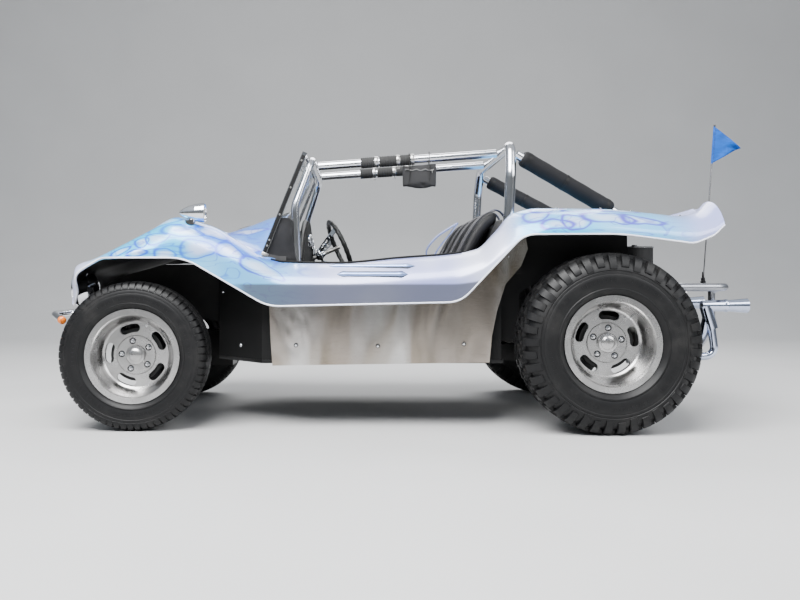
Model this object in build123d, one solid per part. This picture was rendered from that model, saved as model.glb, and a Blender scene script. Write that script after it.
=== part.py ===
"""Open two-seat dune buggy on a rear-engined floor pan.

Millimetres. X runs from the nose (-X) to the tail (+X), Y to the car's right,
Z up from the ground. Places along the car are stations, measured rearwards
from the front axle; half widths are measured from the centre line.
"""
from build123d import *
import math
import os

os.makedirs("parts", exist_ok=True)

# Main sizes
FRONT_AXLE_X = -1249.5
WHEELBASE = 2080
DRAWN_WHEELBASE = 2080
GROUND_CLEARANCE = 290
FRAME_HEAD_Z = 232

# Wheels
FRONT_TYRE_R = 330
FRONT_TYRE_W = 205
FRONT_WHEEL_Y = 598
REAR_TYRE_R = 392
REAR_TYRE_W = 268
REAR_WHEEL_Y = 690
RIM_BARREL_R = 178
RIM_BEAD_R = RIM_BARREL_R + 12
RIM_LIP_R = RIM_BEAD_R + 19
FRONT_RIM_W = 168
REAR_RIM_W = 226
FRONT_DISH = 84
REAR_DISH = 106
RIM_DISC_T = 14
BOWL_R = 148
SLOT_COUNT = 5
FRONT_SLOT_TURN = 32
REAR_SLOT_TURN = 13
SLOT_PITCH_R = 121
SLOT_SWEEP = 25
SLOT_W = 38
HUB_RING_R = 89
NUT_PITCH_R = 65
NUT_WELL_R = 15
NUT_WELL_DEPTH = 7
CAP_R = 44
LUG_COUNT = 40
LUG_H = 15
LUG_ROW_W = 46
DRUM_R = 118
DRUM_T = 62
SPINDLE_R = 16
RUNNING_GAP = 0.06
SEAT_GAP = 0.3
KINGPIN_R = 11

# Steering
KINGPIN_Y = 505
STEER_ARM = 120
TIE_ROD_Z = 306
TIE_ROD_R = 11
PITMAN_Y = 150
BEAM_S = -150
BEAM_Z = (278, 418)
WORM_END = (20, 160, 462)
COLUMN_R = 11
WHEEL_BOSS_T = 3
STEERING_CENTRE = (897, 330, 848)

# Floor pan and body
PAN_T = 14
PAN_HALF_W = 575
PAN_FRONT = 330
PAN_REAR = 1650
TUNNEL_HALF_W = 75
TUNNEL_H = 120
SKIN = 6
LIP_BASE_Z = 520
LIP_FRONT_Z = 537
ALLOY_Y = 622
ALLOY_T = 3
TUB_Y = 572
TUB_T = 5

# Engine, with its crankshaft along the car
CRANK_Z = 370
CASE_TOP_Z = 480
CYLINDER_S = (2405, 2535)
HEAD_Y = 226
HEAD_L = 62
HEAD_HALF_H = 52
FIN_COUNT = 8
FIN_PITCH = 13
FIN_T = 4
BELT_S = 2664
CRANK_PULLEY_R = 84
GENERATOR_Z = 575
GENERATOR_R = 52
GENERATOR_PULLEY_R = 62
REAR_BAR_S = 2780
REAR_BAR_Z = 630
REAR_BAR_R = 19

# Screen and cage
SCREEN_FOOT = (562, 774)
SCREEN_HEAD = (753, 1246)
SCREEN_HALF_W = 552
FRAME_W = 26
FRAME_T = 22
GLASS_T = 5
SCREEN_CROWN = 240
LAMP_PLACE = (-280, 626)
LAMP_Y = 330
LAMP_R = 78
FRONT_HOOP_R = 19
MAIN_HOOP_R = 24
RAIL_R = 20.5
RAIL_Y = 220
HOOP_Y = 520
MAIN_HOOP_Y = 536
BOLSTER_W = 72
HOOP_LEDGE_Z = 700
HOOP_FOOT = (1668, -MAIN_HOOP_Y, HOOP_LEDGE_Z + SEAT_GAP)
HOOP_KNEE = (1690, -MAIN_HOOP_Y, 1160)
HOOP_TOP = (1699, 60 - MAIN_HOOP_Y, 1286)
NOSE_TUB_Y = 300
TUB_REAR_Y = 500
TUB_REAR = 1735
TUB_FLOOR_Z = 388
TORSION_S = PAN_REAR + 40
PAD_R = 38
BRACE_R = 21
BRACE_TOP = (1722, -500, 1243)
BRACE_FOOT = (2250, -432, 950)

REAR_AXLE = DRAWN_WHEELBASE
STRETCH_FROM, STRETCH_TO = 900, 1600


def at(station):
    """X of a station behind the front axle. A change of wheelbase is taken up in the cabin."""
    share = (station - STRETCH_FROM) / (STRETCH_TO - STRETCH_FROM)
    return FRONT_AXLE_X + station + (WHEELBASE - DRAWN_WHEELBASE) * min(1, max(0, share))


def point(station, y, z):
    return (at(station), y, z)


def both(shape):
    """A left-hand shape with its mirror image on the right."""
    return [shape, mirror(shape, about=Plane.XZ)]


def save(name, *shapes):
    """Write one node. Loose solids share the file as a compound."""
    solids = []
    for shape in shapes:
        items = shape if isinstance(shape, (list, tuple)) else [shape]
        for item in items:
            solids += list(item.solids())
    node = solids[0] if len(solids) == 1 else Compound(children=solids)
    node.label = name
    export_step(node, f"parts/{name}.step")


def bar(start, end, radius):
    """Round bar between two points."""
    a, b = Vector(*start), Vector(*end)
    return extrude(Plane(a, z_dir=(b - a)) * Circle(radius), amount=(b - a).length)


def bent_bar(points, radius, bends):
    """Round bar along straight runs joined by arcs, one bend radius per corner."""
    path = FilletPolyline(*points, radius=bends)
    return sweep(Plane(path @ 0, z_dir=path % 0) * Circle(radius), path=path)


def block(low, high):
    """Box between two corners given as (station, y, z)."""
    low, high = point(*low), point(*high)
    size = [h - l for l, h in zip(low, high)]
    mid = [(h + l) / 2 for l, h in zip(low, high)]
    return Pos(*mid) * Box(*size)


def side_plate(outline, y_low, y_high):
    """Plate cut to an outline of (station, z) points, from y_low to y_high."""
    pts = [(at(s), z) for s, z in outline]
    face = Plane.XZ * make_face(Polyline(*pts, close=True))
    return Pos(0, y_high, 0) * extrude(face, amount=y_high - y_low, dir=(0, -1, 0))


def turned(profile, centre):
    """Solid turned about a Y axis through centre. Profile rows: (y, radius)."""
    pts = [(r, y) for y, r in profile]
    face = make_face(Polyline(*pts, close=True))
    spun = revolve(Plane.XY * face, Axis.Y)
    return Pos(*centre) * spun


# Body panels are lofted through cross-sections that all have the same form: a
# near-vertical band from the lip to the shoulder, then an arc over the crest of
# the wing down to the valley. Rows: station, lip half width, shoulder half
# width and height, crest half width and height, valley half width and height,
# centre height of the panel between the valleys, and skin depth.
FRONT_SECTIONS = [
    (-335, 440, 434, 600, 400, 628, 350, 626, 612, 26),
    (-316, 530, 524, 638, 480, 684, 395, 668, 650, 16),
    (-276, 650, 643, 680, 568, 730, 405, 704, 692, 9),
    (-205, 694, 688, 714, 594, 754, 406, 724, 718, 7),
    (-80, 700, 692, 762, 600, 813, 400, 762, 764, 6),
    (60, 702, 692, 800, 600, 884, 400, 806, 824, 6),
    (176, 702, 690, 790, 600, 939, 405, 846, 862, 6),
    (330, 700, 690, 738, 600, 898, 432, 862, 900, 6),
    (470, 700, 694, 690, 604, 826, 508, 810, 950, 7),
    (560, 700, 697, 664, 622, 764, 560, 768, 985, 6),
    (660, 700, 700, 646, 646, 712, 575, 744, 1006, 6),
]
SIDE_SECTIONS = [
    (660, 700, 700, 646, 646, 712, 575, 744, 6),
    (900, 700, 700, 646, 646, 708, 575, 739, 6),
    (1180, 700, 700, 659, 646, 726, 575, 762, 6),
    (1420, 702, 702, 675, 646, 745, 575, 781, 6),
]
REAR_SECTIONS = [
    (1420, 702, 702, 675, 646, 745, 575, 781, 781, 6),
    (1530, 716, 715, 712, 646, 782, 572, 806, 806, 7),
    (1610, 734, 732, 778, 640, 870, 562, 880, 868, 8),
    (1690, 756, 752, 846, 626, 960, 545, 962, 930, 7),
    (1800, 774, 770, 884, 608, 986, 515, 978, 930, 6),
    (2050, 785, 780, 890, 600, 985, 482, 962, 918, 6),
    (2290, 780, 774, 872, 600, 966, 468, 942, 908, 6),
    (2440, 768, 762, 866, 596, 952, 462, 934, 908, 7),
    (2530, 752, 746, 888, 588, 974, 462, 954, 934, 8),
    (2582, 738, 731, 912, 575, 1018, 462, 1008, 994, 9),
]
DECK_START = 1690

# Lower edge of the body from nose to tail: station, height, corner radius.
LIP_LINE = [
    (-420, 551, 0),
    (-250, 551, 8),
    (-260, 690, 60),
    (-150, 762, 70),
    (230, 763, 260),
    (598, 549, 200),
    (1442, 568, 130),
    (1712, 862, 110),
    (2120, 862, 900),
    (2440, 822, 90),
    (2530, 858, 120),
    (2640, 952, 0),
]


def strip_section(row):
    """Closed cross-section of one wing or side panel, left-hand side."""
    s, lip_y, sh_y, sh_z, cr_y, cr_z, va_y, va_z = row[:8]
    skin = row[-1]
    inset = min(skin, SKIN)
    outer = [(-lip_y, LIP_BASE_Z), (-sh_y, sh_z), (-cr_y, cr_z), (-va_y, va_z)]
    inner = [
        (-lip_y + inset, LIP_BASE_Z),
        (-sh_y + inset, sh_z - skin * 0.4),
        (-cr_y + inset * 0.3, cr_z - skin),
        (-va_y, va_z - skin),
    ]
    x = at(s)
    o = [(x, y, z) for y, z in outer]
    i = [(x, y, z) for y, z in inner]
    edges = [
        Line(o[0], o[1]),
        ThreePointArc(o[1], o[2], o[3]),
        Line(o[3], i[3]),
        ThreePointArc(i[3], i[2], i[1]),
        Line(i[1], i[0]),
        Line(i[0], o[0]),
    ]
    return Face(Wire(edges))


def crown_section(row):
    """Closed cross-section of the panel between the two valleys."""
    s, va_y, va_z, mid_z, skin = row[0], row[6] - 0.8, row[7], row[8], row[-1]
    x = at(s)
    edges = [
        ThreePointArc((x, -va_y, va_z), (x, 0, mid_z), (x, va_y, va_z)),
        Line((x, va_y, va_z), (x, va_y, va_z - skin)),
        ThreePointArc((x, va_y, va_z - skin), (x, 0, mid_z - skin), (x, -va_y, va_z - skin)),
        Line((x, -va_y, va_z - skin), (x, -va_y, va_z)),
    ]
    return Face(Wire(edges))


def below_lip():
    """Everything under the body's lower edge, as a cutting tool."""
    pts = [(at(s), z) for s, z, _ in LIP_LINE]
    bends = [r for _, _, r in LIP_LINE[1:-1]]
    edge = FilletPolyline(*pts, radius=bends)
    floor = Polyline(pts[-1], (pts[-1][0], 300), (pts[0][0], 300), pts[0])
    face = make_face(Plane.XZ * (edge + floor))
    return Pos(0, 900, 0) * extrude(face, amount=1800, dir=(0, -1, 0))


def lamp_hole(radius):
    s, z = LAMP_PLACE
    return bar(point(s - 90, -LAMP_Y, z), point(s + 30, -LAMP_Y, z), radius)


def body():
    """Panels of the moulded body. Returns them for the pieces that sit on them."""
    arch_cutter = below_lip()
    lamp = lamp_hole(LAMP_R + SEAT_GAP)
    leg_foot = Vector(*point(*HOOP_FOOT)) - Vector(0, 0, MAIN_HOOP_R)
    hoop_leg = bar(leg_foot, point(*HOOP_KNEE), MAIN_HOOP_R + SEAT_GAP)
    panels = {}
    for name, rows in (("front_wing", FRONT_SECTIONS), ("side_top", SIDE_SECTIONS), ("rear_wing", REAR_SECTIONS)):
        panel = loft([strip_section(row) for row in rows]) - arch_cutter
        if name == "front_wing":
            panel -= lamp
        if name == "rear_wing":
            panel -= hoop_leg
        left, right = both(panel)
        save(f"{name}_left", left)
        save(f"{name}_right", right)
        panels[name] = left
    nose = loft([crown_section(row) for row in FRONT_SECTIONS]) + nose_front()
    for hole in both(lamp):
        nose -= hole
    deck = loft([crown_section(row) for row in REAR_SECTIONS if row[0] >= DECK_START])
    for leg in both(hoop_leg):
        deck -= leg
    panels["nose"], panels["deck"] = nose, deck
    save("nose_panel", nose)
    save("rear_deck", deck)
    return panels


def nose_front():
    """Panel that closes the nose between the two front wings."""
    s, lip_y = FRONT_SECTIONS[0][0], FRONT_SECTIONS[0][1]
    low = block((s - SKIN, -lip_y, LIP_FRONT_Z), (s - SEAT_GAP, lip_y, 600))
    return low + block((s - SKIN, -340, 590), (s, 340, 616))


def alloy_panels():
    """Side sheets below the body, running up inside the rear arches."""
    outline = [
        (597, 560), (604, 400), (612, 284), (1579, 298), (1591, 420), (1613, 528), (1651, 647), (1720, 728),
        (1750, 804), (1738, 872), (1690, 890), (1560, 760), (1442, 650), (640, 620),
    ]
    save("side_panels", both(side_plate(outline, -ALLOY_Y - ALLOY_T, -ALLOY_Y)))


def floor_pan():
    """Flat pan with its tunnel, the frame head in front and the horns that carry the engine."""
    bottom = GROUND_CLEARANCE
    corners = [(PAN_FRONT, -330), (560, -PAN_HALF_W), (PAN_REAR, -PAN_HALF_W)]
    corners += [(station, -y) for station, y in corners[::-1]]
    edge = [point(station, y, bottom) for station, y in corners]
    pan = extrude(make_face(Polyline(*edge, close=True)), amount=PAN_T, dir=(0, 0, 1))
    pan += block((200, -TUNNEL_HALF_W, bottom), (PAN_REAR, TUNNEL_HALF_W, bottom + TUNNEL_H))
    pan += block((200, -TUNNEL_HALF_W, FRAME_HEAD_Z), (PAN_FRONT + 30, TUNNEL_HALF_W, bottom))
    pan += block((-92, -95, FRAME_HEAD_Z), (210, 95, FRAME_HEAD_Z + 28))
    pan += bar(point(TORSION_S, -440, 330), point(TORSION_S, 440, 330), 40)
    pan += block((PAN_REAR - 10, -300, bottom), (TORSION_S, 300, 330))
    extras = [
        block((614, -ALLOY_Y + SEAT_GAP, bottom + 8), (1575, -PAN_HALF_W + 5, bottom + PAN_T)),
        block((614, -ALLOY_Y + SEAT_GAP, bottom + 8), (1575, -ALLOY_Y + 14, bottom + 80)),
        bent_bar([point(TORSION_S, -100, 330), point(1850, -190, 300), point(2320, -205, 300)], 26, [150]),
        bent_bar([point(TORSION_S, -425, 330), point(1795, -425, 350), point(1930, -395, 742)], 15, [60]),
    ]
    for extra in extras:
        for side in both(extra):
            pan += side
    save("floor_pan", pan)


# Inner wall of each rear wheel arch, back from the cabin: station, height.
ARCH_WALL = [(TUB_REAR - 6, 600), (1860, 690), (2150, 720), (2230, 790), (2230, 890), (TUB_REAR - 6, 890)]


def cabin_tub():
    """Moulded inner walls, toe board, rear bulkhead and the inner walls of the rear arches."""
    low = GROUND_CLEARANCE + PAN_T + SEAT_GAP
    step = PAN_REAR - 10
    ledge = HOOP_LEDGE_Z
    wall = side_plate(
        [(560, low), (step, low), (step, ledge), (TUB_REAR, ledge), (TUB_REAR, 900), (1690, 900), (1600, 820),
         (1530, 776), (1420, 756), (1180, 740), (900, 720), (560, 720)],
        -TUB_Y, -TUB_Y + TUB_T,
    )
    wall += block((step - 6, -TUB_Y, low), (step, -TUB_REAR_Y, ledge))
    wall += block((step - 6, -TUB_Y, ledge - 6), (TUB_REAR, -TUB_REAR_Y, ledge))
    wall += block((step - 6, -TUB_REAR_Y - TUB_T, TUB_FLOOR_Z - 5), (TUB_REAR, -TUB_REAR_Y, ledge))
    plan = Polyline(point(PAN_FRONT, -330, low), point(560, -TUB_Y, low), point(560, -TUB_Y + 7, low),
                    point(PAN_FRONT + 6, -324, low), close=True)
    wall += extrude(make_face(plan), amount=720 - low, dir=(0, 0, 1))
    tub = wall + mirror(wall, about=Plane.XZ)
    for piece in both(block((step - 6, -TUB_Y, low), (step, -TUNNEL_HALF_W - SEAT_GAP, TUB_FLOOR_Z))):
        tub += piece
    tub += block((step - 6, -TUB_REAR_Y, TUB_FLOOR_Z - 5), (TUB_REAR, TUB_REAR_Y, TUB_FLOOR_Z))
    tub += block((TUB_REAR - 6, -TUB_Y, 700), (TUB_REAR, TUB_Y, 900))
    tub += block((TUB_REAR - 6, -TUB_REAR_Y, TUB_FLOOR_Z - 5), (TUB_REAR, TUB_REAR_Y, 700))
    tub += block((PAN_FRONT, -330, low), (PAN_FRONT + 6, 330, 720))
    for arch_wall in both(side_plate(ARCH_WALL, -TUB_REAR_Y - TUB_T, -TUB_REAR_Y)):
        tub += arch_wall
    clear = TUNNEL_HALF_W + SEAT_GAP
    tunnel = block((PAN_FRONT, -clear, low), (PAN_REAR + SEAT_GAP, clear, GROUND_CLEARANCE + TUNNEL_H + SEAT_GAP))
    save("cabin_tub", tub - tunnel - column(COLUMN_R + 8))


def nose_tub():
    """Dark inner wings and floor of the nose."""
    y, end = NOSE_TUB_Y, PAN_FRONT - SEAT_GAP
    wall = side_plate([(-228, 560), (end, 470), (end, 740), (60, 740), (-120, 690), (-228, 640)], -y, -y + TUB_T)
    floor = side_plate([(-228, 555), (end, 465), (end, 470), (-228, 560)], -y, y)
    save("nose_tub", wall + mirror(wall, about=Plane.XZ) + floor - column(COLUMN_R + 8))


def front_beam():
    low, high = BEAM_Z
    beam = bar(point(BEAM_S, -356, low), point(BEAM_S, 356, low), 32)
    beam += bar(point(BEAM_S, -356, high), point(BEAM_S, 356, high), 32)
    beam += block((BEAM_S - 5, -95, low - 20), (-92 - SEAT_GAP, 95, high))
    side = block((BEAM_S - 28, -318, low - 20), (BEAM_S + 28, -290, 524))
    side += block((BEAM_S + 15, -318, 500), (BEAM_S + 55, -305, 614))
    for z in BEAM_Z:
        side += bar(point(BEAM_S, -345, z), point(-4, -432, z), 15)
        side += Pos(*point(0, -436, z)) * Cylinder(19, 34)
        side += bar(point(0, -436, z), point(0, -KINGPIN_Y, z), 12)
    side += bar(point(0, -436, low), point(0, -436, high), 13)
    side += bar(point(0, -KINGPIN_Y, low), point(0, -KINGPIN_Y, high), KINGPIN_R)
    for piece in both(side):
        beam += piece
    save("front_beam", beam)


def dampers():
    front = bar(point(-66, -340, 300), point(-112, -339, 606), 18)
    front += bar(point(-70, -340, 330), point(-70, -372, 330), 7)
    front += bar(point(-110, -339, 590), point(-110, -318.3, 590), 7)
    rear = bar(point(2005, -483, 446), point(1930, -432, 750), 20)
    rear += bar(point(2004, -484, 452), point(2004, -462.3, 424), 7)
    rear += bar(point(1932, -434, 738), point(1932, -411, 738), 7)
    save("dampers", both(front), both(rear))


def column(radius):
    """Steering column from the worm box to the wheel hub."""
    hub = Vector(*point(*STEERING_CENTRE))
    foot = Vector(*point(*WORM_END))
    return bar(foot, hub - (hub - foot).normalized() * (WHEEL_BOSS_T + SEAT_GAP), radius)


def steering_gear():
    """Worm box on the beam and the column up to the wheel."""
    case = block((-60, PITMAN_Y - 38, 395), (45, PITMAN_Y + 42, 492))
    case += block((BEAM_S + 32 + SEAT_GAP, PITMAN_Y - 38, 400), (-60, PITMAN_Y + 42, 436))
    case += bar(point(0, PITMAN_Y, TIE_ROD_Z + 11 + SEAT_GAP), point(0, PITMAN_Y, 400), 13)
    save("steering_gear", case + column(COLUMN_R))


def knuckles():
    low, high = BEAM_Z[0] + 13, BEAM_Z[1] - 13
    for side, name in ((-1, "left"), (1, "right")):
        y, z = side * KINGPIN_Y, FRONT_TYRE_R
        stub = Pos(*point(0, y, (low + high) / 2)) * Cylinder(19, high - low)
        stub += bar(point(0, y, z), point(0, side * (FRONT_WHEEL_Y - 6), z), SPINDLE_R)
        stub += bar(point(0, y, TIE_ROD_Z), point(STEER_ARM, y, TIE_ROD_Z), 9)
        stub += Pos(*point(STEER_ARM, y, TIE_ROD_Z)) * Cylinder(13, 22)
        bore = Pos(*point(0, y, (low + high) / 2)) * Cylinder(KINGPIN_R + RUNNING_GAP, 200)
        save(f"knuckle_{name}", stub - bore)


def steering_links():
    """Drop arm under the box and the two rods that it pushes."""
    arm = bar(point(0, PITMAN_Y, TIE_ROD_Z), point(STEER_ARM, PITMAN_Y, TIE_ROD_Z), 10)
    arm += Pos(*point(0, PITMAN_Y, TIE_ROD_Z)) * Cylinder(17, 22)
    arm += Pos(*point(STEER_ARM, PITMAN_Y, TIE_ROD_Z)) * Cylinder(15, 22)
    save("pitman_arm", arm)
    low = TIE_ROD_Z - 11 - SEAT_GAP - TIE_ROD_R
    end = KINGPIN_Y + 6
    save("tie_rods", bar(point(STEER_ARM, -end, low), point(STEER_ARM, end, low), TIE_ROD_R))


def rim(width, dish, slot_turn, side):
    """Slotted wheel with its drum. The lip faces outwards along side."""
    half = width / 2
    face = half - dish
    back = face - RIM_DISC_T
    section = [
        (half, RIM_LIP_R), (half, RIM_LIP_R - 25), (half - 7, RIM_LIP_R - 30), (half - 16, RIM_BARREL_R - 3),
        (face + 6, BOWL_R + 3), (face, BOWL_R - 4), (face, HUB_RING_R), (face + 5, HUB_RING_R - 4),
        (face + 5, 30), (back, 30), (back, BOWL_R - 4), (back, RIM_BARREL_R - 6), (-half + 10, RIM_BARREL_R),
        (-half, RIM_LIP_R - 12), (-half, RIM_LIP_R), (-half + 8, RIM_LIP_R),
        (-half + 14, RIM_BEAD_R), (half - 14, RIM_BEAD_R), (half - 8, RIM_LIP_R),
    ]
    wheel = turned([(y * side, r) for y, r in section], (0, 0, 0))
    slot = Plane.XZ * SlotArc(CenterArc((0, 0), SLOT_PITCH_R, -SLOT_SWEEP / 2, SLOT_SWEEP), SLOT_W)
    slot = extrude(slot, amount=200, both=True)
    well = Plane.XZ * (Pos(NUT_PITCH_R, 0) * Circle(NUT_WELL_R))
    well = Pos(0, (face + 5) * side, 0) * extrude(well, amount=NUT_WELL_DEPTH, both=True)
    for k in range(SLOT_COUNT):
        turn = Rot(0, (360 / SLOT_COUNT * k + slot_turn) * side, 0)
        wheel -= turn * slot
        wheel -= turn * well
    bore = SPINDLE_R + RUNNING_GAP
    hub = [(back - 30, bore), (face + 2, bore), (face + 2, 0), (face + 34, 0), (face + 33, CAP_R * 0.3),
           (face + 31, CAP_R * 0.5), (face + 27, CAP_R * 0.68), (face + 24, CAP_R * 0.7), (face + 22, CAP_R * 0.92),
           (face + 17, CAP_R), (back, CAP_R), (back, DRUM_R), (back - DRUM_T, DRUM_R), (back - DRUM_T, DRUM_R - 6),
           (back - 6, DRUM_R - 6), (back - 6, 40), (back - 30, 40)]
    return wheel + turned([(y * side, r) for y, r in hub], (0, 0, 0))


def tyre(radius, width, rim_width):
    """Plain carcass, out to the top of the road tread or to the foot of the lugs."""
    half = width / 2
    bead = rim_width / 2 - 14
    edge = [
        (bead, RIM_BEAD_R + 0.3), (bead + 4, RIM_LIP_R + 6), (half - 4, RIM_LIP_R + 42),
        (half, radius * 0.80), (half - 10, radius - 24), (half - 34, radius - 3), (half - 60, radius),
    ]
    return turned(edge + [(-y, r) for y, r in reversed(edge)], (0, 0, 0))


def lug_ring(radius, y_low, y_high, phase):
    """Ring of square-cut lugs, as one toothed plate."""
    root, pitch = radius - LUG_H - 10, 2 * math.pi / LUG_COUNT
    flank, end = 0.03, 0.62
    corners = []
    for k in range(LUG_COUNT):
        for share, r in ((0, root), (flank, radius), (end, radius), (end + flank, root)):
            a = (k + share + phase) * pitch
            corners.append((r * math.cos(a), r * math.sin(a)))
    ring = make_face(Polyline(*corners, close=True)) - Circle(root - 6)
    return Pos(0, y_low, 0) * extrude(Plane.XZ * ring, amount=y_high - y_low, dir=(0, 1, 0))


def lugged_tyre(radius, width, rim_width):
    """Deep-lugged tyre: two rows of lugs over the shoulders and two along the middle."""
    made = tyre(radius - LUG_H, width, rim_width)
    shoulder = width / 2 - 8
    # outer radius, start and end across the tyre, share of a lug that the row is turned by
    rows = [
        (radius - 6, -shoulder, LUG_ROW_W - shoulder, 0), (radius, -LUG_ROW_W - 4, -4, 0.35),
        (radius, 4, LUG_ROW_W + 4, 0.85), (radius - 6, shoulder - LUG_ROW_W, shoulder, 0.5),
    ]
    for row in rows:
        made += lug_ring(*row)
    return made


def wheels():
    # end, station, half track, tyre shape, tyre radius, tyre width, rim width, dish, turn of the slots
    table = [
        ("front", 0, FRONT_WHEEL_Y, tyre, FRONT_TYRE_R, FRONT_TYRE_W, FRONT_RIM_W, FRONT_DISH, FRONT_SLOT_TURN),
        ("rear", REAR_AXLE, REAR_WHEEL_Y, lugged_tyre, REAR_TYRE_R, REAR_TYRE_W, REAR_RIM_W, REAR_DISH,
         REAR_SLOT_TURN),
    ]
    for end, station, y, tyre_shape, radius, width, rim_w, dish, slot_turn in table:
        for side, name in ((-1, "left"), (1, "right")):
            place = Pos(*point(station, side * y, radius))
            save(f"rim_{end}_{name}", place * rim(rim_w, dish, slot_turn, side))
            save(f"tyre_{end}_{name}", place * tyre_shape(radius, width, rim_w))


def rear_suspension():
    """Spring plates and the axle tubes out to the drums."""
    s, z = REAR_AXLE, REAR_TYRE_R
    plate = side_plate([(TORSION_S - 34, 296), (TORSION_S + 34, 290), (s + 20, 370), (s + 20, 424),
                        (TORSION_S - 34, 366)], -450, -440 - SEAT_GAP)
    axle = bar(point(s, -119 - SEAT_GAP, z), point(s, -530, z), 28)
    axle += bar(point(s, -530, z), point(s, -REAR_WHEEL_Y + 16, z), SPINDLE_R)
    axle += bar(point(s, -505, z), point(s, -515, z), 90)
    save("rear_suspension", both(plate + axle))


def transaxle():
    s = REAR_AXLE
    gearbox = bar(point(s - 230, 0, 350), point(s + 160, 0, 350), 95)
    gearbox += bar(point(TORSION_S + 40 + SEAT_GAP, 0, 340), point(s - 230, 0, 340), 40)
    gearbox += bar(point(s, -119, REAR_TYRE_R), point(s, 119, REAR_TYRE_R), 110)
    gearbox += bar(point(s + 150, 0, 370), point(s + 215, 0, 370), 165)
    save("transaxle", gearbox)


def engine():
    """Open engine: crankcase, two finned cylinders a side, heads, rocker covers and the front pulley."""
    front, back = REAR_AXLE + 215 + SEAT_GAP, REAR_AXLE + 560
    outline = FilletPolyline((-110, 262), (110, 262), (110, 430), (70, CASE_TOP_Z), (-70, CASE_TOP_Z), (-110, 430),
                             radius=14, close=True)
    case = Pos(at(front), 0, 0) * extrude(Plane.YZ * make_face(outline), amount=back - front, dir=(1, 0, 0))
    sides = []
    for station in CYLINDER_S:
        sides.append(bar(point(station, -100, CRANK_Z), point(station, -HEAD_Y, CRANK_Z), 50))
    fin_low, fin_high = CYLINDER_S[0] - 63, CYLINDER_S[1] + 63
    for k in range(FIN_COUNT):
        y = -HEAD_Y + (k + 1) * FIN_PITCH
        sides.append(block((fin_low, y, CRANK_Z - 58), (fin_high, y + FIN_T, CRANK_Z + 58)))
    head = block((fin_low - 4, -HEAD_Y - HEAD_L, CRANK_Z - 40), (fin_high + 4, -HEAD_Y, CRANK_Z + 40))
    for k in range(4):
        y = -HEAD_Y - HEAD_L + 6 + k * 15
        head += block((fin_low - 4, y, CRANK_Z - HEAD_HALF_H), (fin_high + 4, y + 6, CRANK_Z + HEAD_HALF_H))
    sides.append(head)
    for part in sides:
        for side in both(part):
            case += side
    pulley = bar(point(back, 0, CRANK_Z), point(BELT_S - 12, 0, CRANK_Z), 22) + pulley_wheel(CRANK_Z, CRANK_PULLEY_R)
    save("engine_block", case + pulley)
    face = -HEAD_Y - HEAD_L - SEAT_GAP
    cover = block((fin_low + 4, face - 46, CRANK_Z - 38), (fin_high - 4, face, CRANK_Z + 38))
    cover = fillet(cover.edges().filter_by(Axis.X).group_by(Axis.Y)[0], 22)
    save("rocker_covers", both(cover))


def pulley_wheel(z, radius):
    """Grooved pulley about a line along the car, at the belt's station."""
    groove = [(-12, 0), (-12, radius), (-5.6, radius), (-5.6, radius - 8), (5.6, radius - 8), (5.6, radius),
              (12, radius), (12, 0)]
    face = make_face(Polyline(*groove, close=True))
    return Pos(at(BELT_S), 0, z) * revolve(Plane.XZ * face, Axis.X)


def fan_belt():
    """Belt round both pulleys."""
    rings = []
    for grow in (SEAT_GAP, 7.5):
        circles = [Pos(0, z) * Circle(radius - 8 + grow) for z, radius in ((CRANK_Z, CRANK_PULLEY_R),
                                                                        (GENERATOR_Z, GENERATOR_PULLEY_R))]
        rings.append(make_hull([edge for circle in circles for edge in circle.edges()]))
    loop = rings[1] - rings[0]
    save("fan_belt", Pos(at(BELT_S) - 5, 0, 0) * extrude(Plane.YZ * loop, amount=10, dir=(1, 0, 0)))


def cooling():
    """Fan housing across the engine and the generator behind it."""
    s = REAR_AXLE
    left = [(-292, CASE_TOP_Z + SEAT_GAP), (-292, 560), (-205, 618), (-118, 642)]
    right = [(-y, z) for y, z in left[::-1]]
    outline = Polyline(*left) + ThreePointArc(left[-1], (0, 729), right[0]) + Polyline(*right, left[0])
    shroud = extrude(Plane.YZ * make_face(outline), amount=75, dir=(1, 0, 0))
    shroud = Pos(at(s + 225), 0, 0) * shroud
    shroud += bar(point(s + 300, 0, 605), point(s + 312, 0, 605), 104)
    hole = bar(point(s + 290, 0, GENERATOR_Z), point(s + 330, 0, GENERATOR_Z), GENERATOR_R + SEAT_GAP)
    save("fan_shroud", shroud - hole)
    generator = bar(point(s + 292, 0, GENERATOR_Z), point(s + 500, 0, GENERATOR_Z), GENERATOR_R)
    generator += bar(point(s + 500, 0, GENERATOR_Z), point(BELT_S - 12, 0, GENERATOR_Z), 15)
    generator += pulley_wheel(GENERATOR_Z, GENERATOR_PULLEY_R)
    generator += block((s + 360, -45, CASE_TOP_Z + SEAT_GAP), (s + 470, 45, 560))
    save("generator", generator)


def induction():
    """Air cleaner on the carburettor, with the pipe that feeds both heads."""
    s = REAR_AXLE + 345
    made = bar(point(s, 0, 742), point(s, 0, 836), 92)
    for z in (742, 830):
        made += bar(point(s, 0, z), point(s, 0, z + 6), 97)
    made += bar(point(s, 0, 836), point(s, 0, 846), 14)
    made += bar(point(s, 0, GENERATOR_Z + GENERATOR_R + SEAT_GAP), point(s, 0, 742), 27)
    made += block((s - 32, -30, 662), (s + 32, 30, 716))
    port = point(s + 40, -252, CRANK_Z + HEAD_HALF_H + SEAT_GAP)
    pipe = bent_bar([point(s, 0, 648), point(s + 4, -130, 640), point(s + 40, -252, 560), port], 15, [60, 60])
    for side in both(pipe):
        made += side
    save("air_cleaner", made)


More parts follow.
